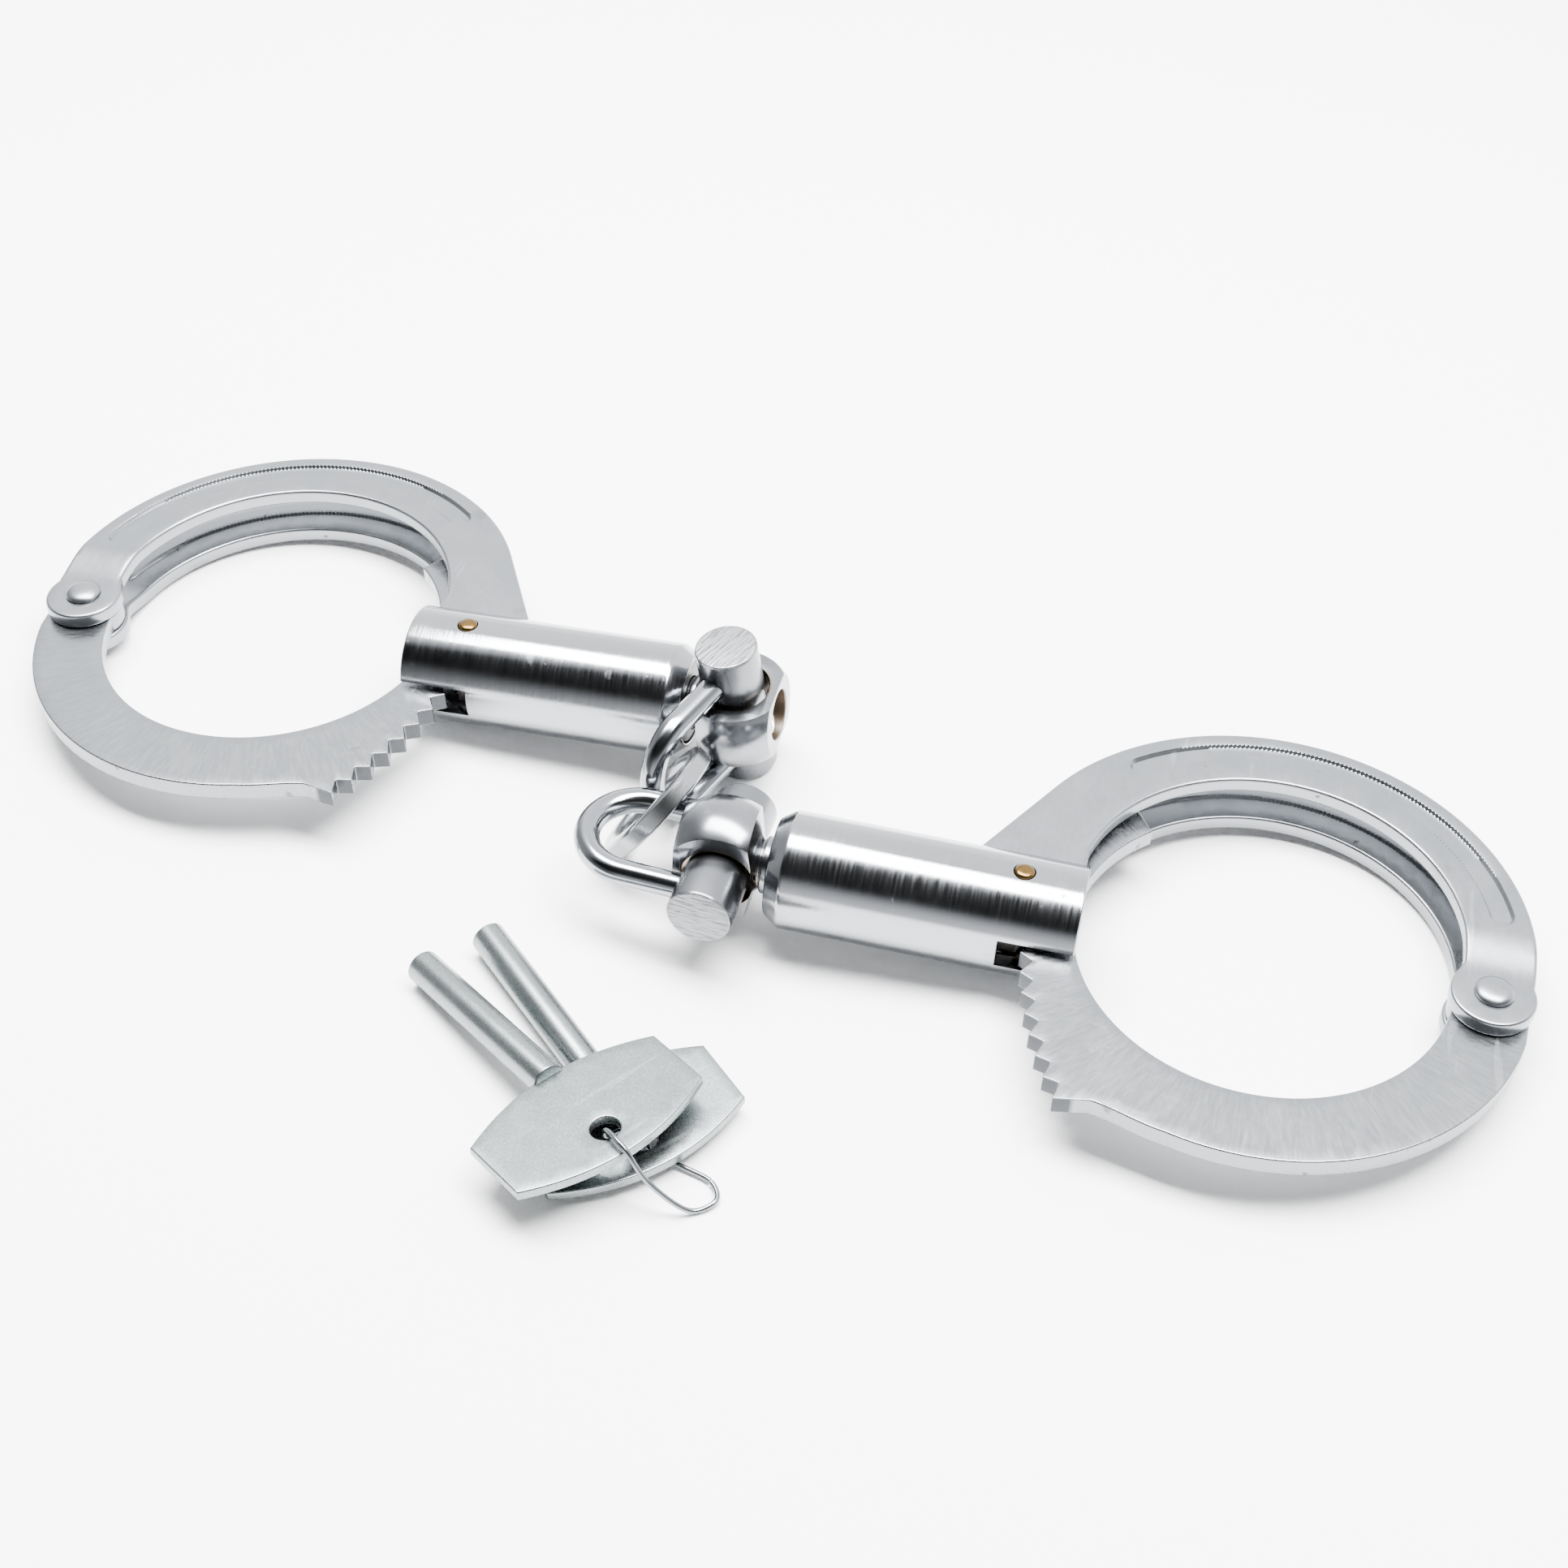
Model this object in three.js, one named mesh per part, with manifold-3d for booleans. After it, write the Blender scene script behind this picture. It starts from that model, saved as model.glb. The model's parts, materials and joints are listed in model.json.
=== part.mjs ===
// A pair of screw-key swing-through handcuffs joined by a short swivel chain, with two keys on a wire ring.
// Millimetres, +Z up. The pieces lie on the plane Z = 0 with the origin under the middle of the whole set.
//
// Each cuff is drawn in its own frame. x runs along the lock barrel towards the chain, y points from the
// barrel towards the fixed cheek plates, z is square to both, and the origin is where the dowels cross it.

import * as THREE from "three";
import { mergeVertices } from "three/addons/utils/BufferGeometryUtils.js";
import Module from "manifold-3d";

const wasm = await Module();
wasm.setup();

// ---------------------------------------------------------------- driving dimensions

const BARREL = { radius: 10, bore: 7.5, start: -10.3, shoulder: 38.5, end: 41.2, endRadius: 8.1, rim: 0.4 };
const SLOT = { halfHeight: 2.85, end: 2.2 };
const CHEEK_WINDOW = { halfHeight: 6.15, end: 8.6 };

const HINGE = { x: -76.5, y: -1, holeRadius: 2.3 };
const CHEEK = {
  inside: 3.1,
  outside: 5.9,
  step: 1.35,
  stepTop: 12,
  stepBottom: 2.5,
  inner: { x: -40.2, y: 5.7, radius: 31.4 },
  outer: { x: -39.7, y: 5, radius: 43.4 },
  lobe: 6.95,
  tongue: { left: -9.5, right: 8.2, bottom: -3.5 },
};
const GROOVE = { x: -40, y: 5.5, inner: 36.2, outer: 40.4, from: 50, to: 165, depth: 0.6 };

const BOW = { half: 1.65, x: -40, y: 1.2, inner: 30.8, outer: 43.4, lobe: 6.5 };
const TEETH = { pitch: 10 / 3, first: -30, count: 18, tip: 75.4, root: 73.2, lean: 0.4 };
const BOLT = {
  toothGap: 0.18,
  halfHeight: 2.6,
  halfWidth: 6.4,
  bladeEnd: 9,
  bodyEnd: 22,
  radius: 7.2,
  stem: 1.6,
  stemEnd: 31,
};
const SPRING = { radius: 5.2, wire: 0.45, from: 22.8, to: 31, turns: 5 };
const GLAND = { start: 35.4, end: 40.9, radius: 7.2, bore: 4.6 };
const DOWEL = { radius: 1.75, bottom: 3.4, shoulder: 9.8, top: 10.5, gap: 0.1 };
const RIVET = { shank: 2.2, head: 3.2, seat: 4.65, top: 5.9 };

const SWIVEL = {
  centre: 49.4,
  ball: 10.5,
  ballStart: 44.6,
  flat: 5.6,
  bore: 6.2,
  keyhole: 3.3,
  mouth: 4.5,
  face: 57,
  head: { start: 31.6, end: 34.9, radius: 6.6 },
  shank: { end: 41.5, radius: 4.4 },
  collar: { end: 42.5, radius: 4.9 },
  neck: { start: 42.9, end: 43.5, radius: 4.2 },
};
const PIN = { radius: 5.5, back: -12.8, front: 14.6, chamfer: 0.5, keyhole: 3.3 };
const BAIL = { wire: 2.2, halfSpacing: 8.8, reach: 23.6, legStart: -2, holeGap: 0.1 };
const LINK = { radius: 10.5, halfWidth: 1.95, halfThickness: 1.7, flat: 0.35 };

const KEY = {
  shank: 2.9,
  shankBore: 1.75,
  boreDepth: 14,
  shankLength: 36.2,
  plateStart: 35.6,
  plateDepth: 21.5,
  plateEnds: 12.5,
  plateHalfWidth: 17.65,
  plateHalfThickness: 0.9,
  hole: 2.4,
  holeAt: 51,
};
const RING_WIRE = 0.45;
const RING_CLOSED = 0.994;

// how each piece lies on the table, before the whole set is moved onto its origin
const LEAN = { noseUp: 0.0505, roll: 0.0261 };
const LEFT = { x: -55.62, y: 360.82, heading: -0.2759, noseUp: LEAN.noseUp, roll: -LEAN.roll };
const FLIPPED = Math.PI;
const RIGHT = { x: 38.3, y: 300.3, heading: 2.9191, noseUp: LEAN.noseUp, roll: FLIPPED + LEAN.roll };
const LEFT_SWIVEL_TURN = 0.085;
const RIGHT_SWIVEL_TURN = Math.PI / 2;
const LEFT_PIN = { slide: 0.3, lean: -0.06, side: -0.085, bail: [-0.3647, -0.9311, 0] };
const RIGHT_PIN = { slide: 0.3, lean: -0.06, bail: [1, 0, 0] };
const LINK_PLACE = { centre: [-21.69, 326.26, 10.5], normal: [-0.7234, 0.3651, 0.586] };

const KEY_A = { tip: [-59.5, 295.9, 2.95], heading: -50.5, rise: 6.4 };
const KEY_B = { tip: [-49.3, 302.5, 2.95], heading: -57.5, rise: 0 };
const RING_PATH = [
  [-11.2, 253.2, 0.75],
  [-10.5, 249.6, 0.75],
  [-14.7, 247.7, 1],
  [-20.6, 248.9, 6.4],
  [-24, 251.4, 11.2],
  [-26.6, 254.8, 11.1],
  [-27.4, 256.7, 8.7],
  [-27.1, 257.9, 6.3],
  [-24.6, 259.7, 5.5],
  [-22.4, 260, 4.7],
  [-21.6, 259.3, 2.7],
  [-19.9, 258.2, 1],
  [-15.2, 255.9, 0.75],
];

const SIDES = { barrel: 40, ball: 32, pin: 24, rod: 16, bail: 10, wire: 5 };

// ---------------------------------------------------------------- materials

const metal = (color, roughness) => new THREE.MeshStandardMaterial({ color, roughness, metalness: 1 });
const MATERIALS = {
  satin: () => metal(0xc9cbce, 0.34),
  chrome: () => metal(0xd6d8da, 0.16),
  brass: () => metal(0xc9a35a, 0.3),
  steel: () => metal(0x8f9398, 0.4),
  spring: () => metal(0x6f7378, 0.35),
  wire: () => metal(0xb9bcc0, 0.3),
};

// ---------------------------------------------------------------- solids

const radians = (degrees) => (degrees * Math.PI) / 180;

function solid(geometry) {
  const bare = geometry.index ? geometry.toNonIndexed() : geometry.clone();
  bare.deleteAttribute("normal");
  bare.deleteAttribute("uv");
  const merged = mergeVertices(bare, 1e-4);
  return new wasm.Manifold(
    new wasm.Mesh({
      numProp: 3,
      vertProperties: new Float32Array(merged.attributes.position.array),
      triVerts: new Uint32Array(merged.index.array),
    }),
  );
}

function geometryOf(body) {
  const mesh = body.getMesh();
  const geometry = new THREE.BufferGeometry();
  geometry.setAttribute("position", new THREE.BufferAttribute(new Float32Array(mesh.vertProperties), 3));
  geometry.setIndex(new THREE.BufferAttribute(new Uint32Array(mesh.triVerts), 1));
  return geometry;
}

// turned about the z axis from [radius, height] points, listed upwards on the outside
function turnedZ(profile, sides) {
  const points = profile.map(([radius, height]) => new THREE.Vector2(radius, height));
  return new THREE.LatheGeometry(points, sides).rotateX(Math.PI / 2);
}

// turned about the x axis from [radius, x] points
function turnedX(profile, sides) {
  return turnedZ(profile, sides).rotateY(Math.PI / 2);
}

const closed = (profile) => [...profile, profile[0]];

function block(x0, x1, y0, y1, z0, z1) {
  const geometry = new THREE.BoxGeometry(x1 - x0, y1 - y0, z1 - z0);
  return geometry.translate((x0 + x1) / 2, (y0 + y1) / 2, (z0 + z1) / 2);
}

function rodZ(radius, z0, z1, sides) {
  return turnedZ([[0, z0], [radius, z0], [radius, z1], [0, z1]], sides);
}

function rodX(radius, x0, x1, sides) {
  return rodZ(radius, x0, x1, sides).rotateY(Math.PI / 2);
}

function plate(shape, z0, z1, curveSegments = 12) {
  const options = { depth: z1 - z0, bevelEnabled: false, curveSegments };
  return new THREE.ExtrudeGeometry(shape, options).translate(0, 0, z0);
}

// a closed band between two arcs about one centre
function arcBand(x, y, inner, outer, from, to) {
  const shape = new THREE.Shape();
  const middle = (inner + outer) / 2;
  const end = (outer - inner) / 2;
  shape.absarc(x, y, outer, radians(from), radians(to), false);
  shape.absarc(
    x + middle * Math.cos(radians(to)),
    y + middle * Math.sin(radians(to)),
    end,
    radians(to),
    radians(to + 180),
    false,
  );
  shape.absarc(x, y, inner, radians(to), radians(from), true);
  return shape;
}

// ---------------------------------------------------------------- one cuff

function lockBarrel() {
  const { radius, bore, start, shoulder, end, endRadius, rim } = BARREL;
  const tube = turnedX(
    closed([
      [bore, start],
      [radius - rim, start],
      [radius, start + rim],
      [radius, shoulder],
      [endRadius, end],
      [bore, end],
    ]),
    SIDES.barrel,
  );
  const slot = block(start - 1, SLOT.end, -radius - 1, radius + 1, -SLOT.halfHeight, SLOT.halfHeight);
  const { halfHeight, end: windowEnd } = CHEEK_WINDOW;
  const window = block(start - 1, windowEnd, 0, radius + 1, -halfHeight, halfHeight);
  const dowelHole = rodZ(DOWEL.radius + DOWEL.gap, -radius - 1, radius + 1, SIDES.rod);
  return geometryOf(solid(tube).subtract(solid(slot)).subtract(solid(window)).subtract(solid(dowelHole)));
}

function cheekOutline() {
  const { inner, outer, lobe, tongue } = CHEEK;
  const shape = new THREE.Shape();
  shape.moveTo(tongue.left, tongue.bottom);
  shape.lineTo(tongue.right, tongue.bottom);
  shape.lineTo(tongue.right, 8.3);
  shape.absarc(outer.x, outer.y, outer.radius, radians(28.9), radians(184.5), false);
  shape.absarc(HINGE.x, HINGE.y, lobe, radians(158), radians(390), false);
  shape.quadraticCurveTo(-71.59, 4.39, -71.6, 5.2);
  shape.absarc(inner.x, inner.y, inner.radius, radians(180.9), radians(12), true);
  return shape;
}

// the side profile of the upper cheek: flat, then stepped in towards the bow at the hinge
function cheekSection() {
  const { inside, outside, step, stepTop, stepBottom } = CHEEK;
  const section = new THREE.Shape();
  section.moveTo(-12, inside - step);
  section.lineTo(stepBottom, inside - step);
  section.lineTo(stepTop, inside);
  section.lineTo(52, inside);
  section.lineTo(52, outside);
  section.lineTo(stepTop, outside);
  section.lineTo(stepBottom, outside - step);
  section.lineTo(-12, outside - step);
  const length = 30;
  const swept = new THREE.ExtrudeGeometry(section, { depth: length, bevelEnabled: false });
  return swept.rotateX(Math.PI / 2).rotateZ(Math.PI / 2).translate(HINGE.x - length / 2 + 1, 0, 0);
}

function cheekPlate() {
  const { inside, outside, step } = CHEEK;
  const band = (from, to, low, high) =>
    solid(plate(arcBand(GROOVE.x, GROOVE.y, GROOVE.inner, GROOVE.outer, from, to), low, high, 12));
  const outline = solid(plate(cheekOutline(), inside - step, outside, 20));
  const flatPart = solid(block(-62, 12, -12, 52, inside, outside));
  const steppedPart = solid(cheekSection());
  const groove = band(GROOVE.from, GROOVE.to, outside - GROOVE.depth, outside + 1);
  const ridge = band(GROOVE.from + 2, GROOVE.to - 2, inside - GROOVE.depth, inside + 0.2);
  const hingeHole = solid(rodZ(HINGE.holeRadius, 0, 8, SIDES.rod).translate(HINGE.x, HINGE.y, 0));
  const dowelHole = solid(rodZ(DOWEL.radius + DOWEL.gap, 0, 8, SIDES.rod));
  const body = outline.intersect(flatPart.add(steppedPart)).add(ridge);
  return geometryOf(body.subtract(groove).subtract(hingeHole).subtract(dowelHole));
}

function mirrored(geometry) {
  const flipped = geometry.clone().scale(1, 1, -1);
  const index = flipped.index.array;
  for (let i = 0; i < index.length; i += 3) {
    [index[i], index[i + 1]] = [index[i + 1], index[i]];
  }
  return flipped;
}

function dowel() {
  const { radius, bottom, shoulder, top } = DOWEL;
  return turnedZ(
    [
      [0, bottom],
      [radius, bottom],
      [radius, shoulder],
      [radius * 0.85, (shoulder + top) / 2 + 0.05],
      [radius * 0.5, top - 0.07],
      [0, top],
    ],
    SIDES.rod,
  );
}

function hingeRivet() {
  const { shank, head, seat, top } = RIVET;
  const rim = [[shank, seat], [head, seat], [head * 0.94, seat + 0.45]];
  const dome = [...rim, [head * 0.72, top - 0.35], [0, top]];
  const under = dome.map(([radius, height]) => [radius, -height]).reverse();
  return turnedZ([...under, ...dome], 24).translate(HINGE.x, HINGE.y, 0);
}

const fromHinge = (radius, degrees) => [
  HINGE.x + radius * Math.cos(radians(degrees)),
  HINGE.y + radius * Math.sin(radians(degrees)),
];

// the toothed edge from the first tip to the last root, as points about the hinge
function toothPoints(count, firstAngle, grow) {
  const points = [];
  for (let i = 0; i < count; i += 1) {
    const angle = firstAngle + i * TEETH.pitch;
    points.push(fromHinge(TEETH.tip + grow, angle));
    points.push(fromHinge(TEETH.root + grow, angle + TEETH.pitch * (1 - TEETH.lean)));
  }
  return points;
}

function bowOutline() {
  const { x, y, inner, outer, lobe } = BOW;
  const shape = new THREE.Shape();
  shape.absarc(x, y, outer, radians(192), radians(285), false);
  shape.bezierCurveTo(-24.5, -40.1, -21.5, -38.4, -17, -37.6);
  toothPoints(TEETH.count, TEETH.first, 0).forEach(([px, py]) => shape.lineTo(px, py));
  shape.absarc(x, y, inner, radians(47.3), radians(-172), true);
  shape.absarc(HINGE.x, HINGE.y, lobe, radians(-12), radians(182), false);
  return shape;
}

function bow() {
  const body = solid(plate(bowOutline(), -BOW.half, BOW.half, 26));
  const hole = solid(rodZ(HINGE.holeRadius, -5, 5, SIDES.rod).translate(HINGE.x, HINGE.y, 0));
  return geometryOf(body.subtract(hole));
}

function lockBolt() {
  const { toothGap, halfHeight, halfWidth, bladeEnd, bodyEnd, radius, stem, stemEnd } = BOLT;
  const blade = new THREE.Shape();
  blade.moveTo(bladeEnd + 0.5, -halfWidth);
  blade.lineTo(bladeEnd + 0.5, halfWidth);
  toothPoints(8, -4 * TEETH.pitch, toothGap)
    .reverse()
    .forEach(([px, py]) => blade.lineTo(px, py));
  const trim = solid(block(-5, bladeEnd + 0.5, -halfWidth, halfWidth, -halfHeight, halfHeight));
  const front = solid(plate(blade, -halfHeight - 1, halfHeight + 1)).intersect(trim);
  const body = turnedX(
    [[0, bladeEnd], [radius, bladeEnd], [radius, bodyEnd], [stem, bodyEnd], [stem, stemEnd], [0, stemEnd]],
    SIDES.pin,
  );
  return geometryOf(front.add(solid(body)));
}

class Coil extends THREE.Curve {
  getPoint(t, target = new THREE.Vector3()) {
    const { radius, from, to, turns } = SPRING;
    const angle = t * turns * 2 * Math.PI;
    return target.set(from + t * (to - from), radius * Math.cos(angle), radius * Math.sin(angle));
  }
}

function round(radius, sides) {
  const shape = new THREE.Shape();
  for (let i = 0; i < sides; i += 1) {
    const angle = (2 * Math.PI * (i + 0.5)) / sides;
    shape[i ? "lineTo" : "moveTo"](radius * Math.cos(angle), radius * Math.sin(angle));
  }
  return shape;
}

function boltSpring() {
  const options = { steps: SPRING.turns * 10, extrudePath: new Coil(), bevelEnabled: false };
  return new THREE.ExtrudeGeometry(round(SPRING.wire, SIDES.wire), options);
}

function gland() {
  const { start, end, radius, bore } = GLAND;
  return turnedX(closed([[bore, start], [radius, start], [radius, end], [bore, end]]), SIDES.ball);
}

// ---------------------------------------------------------------- swivel, pin and bail

// drawn with the cross bore along z
function swivel() {
  const { centre, ball, ballStart, flat, bore, keyhole, mouth, face, head, shank, collar, neck } = SWIVEL;
  const profile = [
    [keyhole, head.start],
    [head.radius, head.start],
    [head.radius, head.end],
    [shank.radius, head.end],
    [shank.radius, shank.end],
    [collar.radius, shank.end],
    [collar.radius, collar.end],
    [neck.radius, neck.start],
    [neck.radius + 0.5, neck.end],
    [6.2, 44.1],
  ];
  const from = -Math.asin((centre - ballStart) / ball);
  const to = Math.asin((face - centre) / ball);
  const steps = 8;
  for (let i = 0; i <= steps; i += 1) {
    const angle = from + ((to - from) * i) / steps;
    profile.push([ball * Math.cos(angle), centre + ball * Math.sin(angle)]);
  }
  profile.push([mouth + 0.3, face], [mouth, face - 0.3], [mouth, centre], [keyhole, centre]);
  const eye = solid(turnedX(closed(profile), SIDES.ball));
  const between = solid(block(head.start - 1, face + 1, -12, 12, -flat, flat));
  const stem = solid(block(head.start - 1, neck.end + 0.1, -12, 12, -12, 12));
  const crossBore = solid(rodZ(bore, -12, 12, SIDES.pin).translate(centre, 0, 0));
  return geometryOf(eye.intersect(between.add(stem)).subtract(crossBore));
}

// drawn along z
function crossPin() {
  const { radius, back, front, chamfer, keyhole } = PIN;
  const rod = turnedZ(
    [
      [0, back],
      [radius - chamfer, back],
      [radius, back + chamfer],
      [radius, front - chamfer],
      [radius - chamfer, front],
      [0, front],
    ],
    SIDES.pin,
  );
  let pin = solid(rod).subtract(solid(rodX(keyhole, -9, 9, SIDES.rod)));
  for (const z of [-BAIL.halfSpacing, BAIL.halfSpacing]) {
    const hole = rodX(BAIL.wire + BAIL.holeGap, BAIL.legStart - 0.3, 9, SIDES.bail).translate(0, 0, z);
    pin = pin.subtract(solid(hole));
  }
  return geometryOf(pin);
}

// a U of round wire in the x-z plane, its legs starting inside the pin and its bend at +x
function bail() {
  const { wire, halfSpacing, reach, legStart } = BAIL;
  const bendStart = reach - halfSpacing;
  const path = new THREE.CurvePath();
  const point = (x, z) => new THREE.Vector3(x, 0, z);
  const bend = 0.5523 * halfSpacing;
  path.add(new THREE.LineCurve3(point(legStart, halfSpacing), point(bendStart, halfSpacing)));
  path.add(
    new THREE.CubicBezierCurve3(
      point(bendStart, halfSpacing),
      point(bendStart + bend, halfSpacing),
      point(reach, bend),
      point(reach, 0),
    ),
  );
  path.add(
    new THREE.CubicBezierCurve3(
      point(reach, 0),
      point(reach, -bend),
      point(bendStart + bend, -halfSpacing),
      point(bendStart, -halfSpacing),
    ),
  );
  path.add(new THREE.LineCurve3(point(bendStart, -halfSpacing), point(legStart, -halfSpacing)));
  const options = { steps: 30, extrudePath: path, bevelEnabled: false };
  return new THREE.ExtrudeGeometry(round(wire, SIDES.bail), options);
}

// a forged ring about z with flats ground on its outer face
function linkRing() {
  const { radius, halfWidth, halfThickness, flat } = LINK;
  const profile = [];
  const sides = 12;
  for (let i = 0; i <= sides; i += 1) {
    const angle = (2 * Math.PI * i) / sides;
    const out = Math.min(halfWidth * Math.cos(angle), halfWidth - flat);
    profile.push([radius + out, halfThickness * Math.sin(angle)]);
  }
  profile[sides] = profile[0];
  return turnedZ(profile, 28);
}

// ---------------------------------------------------------------- keys

// drawn flat: the shank along x from its tip at the origin
function keyShank() {
  const { shank, shankBore, boreDepth, shankLength } = KEY;
  return turnedX(
    [
      [0, boreDepth],
      [shankBore, boreDepth],
      [shankBore, 0],
      [shank - 0.3, 0],
      [shank, 0.3],
      [shank, shankLength - 0.3],
      [shank - 0.3, shankLength],
      [0, shankLength],
    ],
    SIDES.rod,
  );
}

function keyPlate() {
  const { plateStart, plateDepth, plateEnds, plateHalfWidth, plateHalfThickness } = KEY;
  const { hole, holeAt, shank, shankLength } = KEY;
  const middle = plateStart + plateDepth / 2;
  const near = middle - plateEnds / 2;
  const far = middle + plateEnds / 2;
  const shape = new THREE.Shape();
  shape.moveTo(near, -plateHalfWidth);
  shape.quadraticCurveTo(plateStart - (near - plateStart), 0, near, plateHalfWidth);
  shape.lineTo(far, plateHalfWidth);
  shape.quadraticCurveTo(2 * (plateStart + plateDepth) - far, 0, far, -plateHalfWidth);
  const body = solid(plate(shape, -plateHalfThickness, plateHalfThickness, 10));
  const eye = solid(rodZ(hole, -2, 2, SIDES.rod).translate(holeAt, 0, 0));
  const room = solid(rodX(shank + 0.3, 0, shankLength + 0.3, SIDES.rod));
  return geometryOf(body.subtract(eye).subtract(room));
}

// a loop of wire whose cut ends nearly meet
class KeyRingCurve extends THREE.Curve {
  constructor() {
    super();
    this.loop = new THREE.CatmullRomCurve3(RING_PATH.map((point) => new THREE.Vector3(...point)), true);
  }

  getPoint(t, target = new THREE.Vector3()) {
    return this.loop.getPoint(t * RING_CLOSED, target);
  }
}

function keyRing() {
  const path = new KeyRingCurve();
  const options = { steps: 44, extrudePath: path, bevelEnabled: false };
  return new THREE.ExtrudeGeometry(round(RING_WIRE, SIDES.wire), options);
}

// ---------------------------------------------------------------- assembly

const set = new THREE.Group();

function addPiece(parent, name, geometry, material) {
  const mesh = new THREE.Mesh(geometry, MATERIALS[material]());
  mesh.name = name;
  parent.add(mesh);
}

function cuffGroup(place) {
  const group = new THREE.Group();
  group.position.set(place.x, place.y, 0);
  group.rotation.set(place.roll, -place.noseUp, place.heading, "ZYX");
  set.add(group);
  return group;
}

function addCuff(parent, side) {
  const cheek = cheekPlate();
  const pin = dowel();
  const pieces = [
    ["lock_barrel", lockBarrel(), "satin"],
    ["cheek_upper", cheek, "satin"],
    ["cheek_lower", mirrored(cheek), "satin"],
    ["hinge_rivet", hingeRivet(), "satin"],
    ["bow", bow(), "chrome"],
    ["dowel_upper", pin, "brass"],
    ["dowel_lower", pin.clone().rotateX(Math.PI), "brass"],
    ["lock_bolt", lockBolt(), "steel"],
    ["bolt_spring", boltSpring(), "spring"],
    ["end_gland", gland(), "steel"],
  ];
  pieces.forEach(([name, geometry, material]) => addPiece(parent, `${side}_${name}`, geometry, material));
  standOnTable(parent);
}

function standOnTable(group) {
  group.updateMatrixWorld(true);
  group.position.z -= new THREE.Box3().setFromObject(group, true).min.z;
}

function turnedGroup(parent, zAxis, xAxis, position) {
  const z = new THREE.Vector3(...zAxis).normalize();
  const x = new THREE.Vector3(...xAxis);
  x.addScaledVector(z, -x.dot(z)).normalize();
  const y = new THREE.Vector3().crossVectors(z, x);
  const group = new THREE.Group();
  group.quaternion.setFromRotationMatrix(new THREE.Matrix4().makeBasis(x, y, z));
  group.position.set(...position);
  parent.add(group);
  return group;
}

function addShackle(parent, side, zAxis, bailDirection, slide) {
  const offset = new THREE.Vector3(...zAxis).normalize().multiplyScalar(slide);
  const centre = [SWIVEL.centre + offset.x, offset.y, offset.z];
  const shackle = turnedGroup(parent, zAxis, bailDirection, centre);
  addPiece(shackle, `${side}_cross_pin`, crossPin(), "satin");
  addPiece(shackle, `${side}_bail`, bail(), "chrome");
}

function addKey(side, place) {
  const group = new THREE.Group();
  group.position.set(...place.tip);
  group.rotation.set(0, radians(-place.rise), radians(place.heading), "ZYX");
  set.add(group);
  addPiece(group, `${side}_shank`, keyShank(), "steel");
  addPiece(group, `${side}_plate`, keyPlate(), "steel");
}

const left = cuffGroup(LEFT);
const right = cuffGroup(RIGHT);
addCuff(left, "left");
addCuff(right, "right");
addPiece(left, "left_swivel", swivel().rotateX(LEFT_SWIVEL_TURN), "chrome");
addPiece(right, "right_swivel", swivel().rotateX(RIGHT_SWIVEL_TURN), "chrome");
addShackle(left, "left", [LEFT_PIN.lean, LEFT_PIN.side, 1], LEFT_PIN.bail, LEFT_PIN.slide);
addShackle(right, "right", [-RIGHT_PIN.lean, -1, 0], RIGHT_PIN.bail, RIGHT_PIN.slide);
const link = turnedGroup(set, LINK_PLACE.normal, [0, 0, 1], LINK_PLACE.centre);
addPiece(link, "chain_link", linkRing(), "satin");
addKey("key_a", KEY_A);
addKey("key_b", KEY_B);
addPiece(set, "key_ring", keyRing(), "wire");

set.updateMatrixWorld(true);
const box = new THREE.Box3().setFromObject(set, true);
set.position.set(-(box.min.x + box.max.x) / 2, -(box.min.y + box.max.y) / 2, -box.min.z);
set.updateMatrixWorld(true);

export default set;
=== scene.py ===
"""Looks of a pair of swing-through handcuffs with two screw keys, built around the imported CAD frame.

Every piece is drawn in millimetres in the frame of the cuff, shackle, link or key it belongs to, and is
placed in the row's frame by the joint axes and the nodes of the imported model.
"""

import json
import math

import bpy
import numpy as np
from mathutils import Matrix, Vector
from mathutils.geometry import delaunay_2d_cdt


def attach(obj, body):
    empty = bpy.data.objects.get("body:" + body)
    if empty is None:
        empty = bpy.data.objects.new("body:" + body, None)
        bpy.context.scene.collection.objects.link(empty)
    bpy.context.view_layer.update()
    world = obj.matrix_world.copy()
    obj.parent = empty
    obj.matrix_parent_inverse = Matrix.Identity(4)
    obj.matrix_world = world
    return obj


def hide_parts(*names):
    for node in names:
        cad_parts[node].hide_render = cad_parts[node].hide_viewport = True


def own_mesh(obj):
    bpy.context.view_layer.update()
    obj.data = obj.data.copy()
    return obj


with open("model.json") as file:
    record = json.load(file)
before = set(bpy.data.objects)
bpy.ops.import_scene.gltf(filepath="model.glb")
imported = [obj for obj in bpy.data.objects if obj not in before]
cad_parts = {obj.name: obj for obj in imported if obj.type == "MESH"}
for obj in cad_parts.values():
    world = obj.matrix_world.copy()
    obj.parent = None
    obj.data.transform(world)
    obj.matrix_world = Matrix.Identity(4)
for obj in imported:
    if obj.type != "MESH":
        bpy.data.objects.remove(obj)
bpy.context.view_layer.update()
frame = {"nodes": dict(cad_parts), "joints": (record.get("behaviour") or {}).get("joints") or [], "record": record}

MM = 0.001
OWN_FRAME = "own_frame"
SHARP = math.radians(32)
SIDES = ("left", "right")
JOINTS = {joint["name"]: joint for joint in frame["joints"]}
BODY_OF = {node: body for body, nodes in frame["record"]["behaviour"]["bodies"].items() for node in nodes}

# ------------------------------------------------------------------ dimensions, millimetres

SWIVEL_CENTRE = 49.4
HINGE = (-76.5, -1.0)

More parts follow.
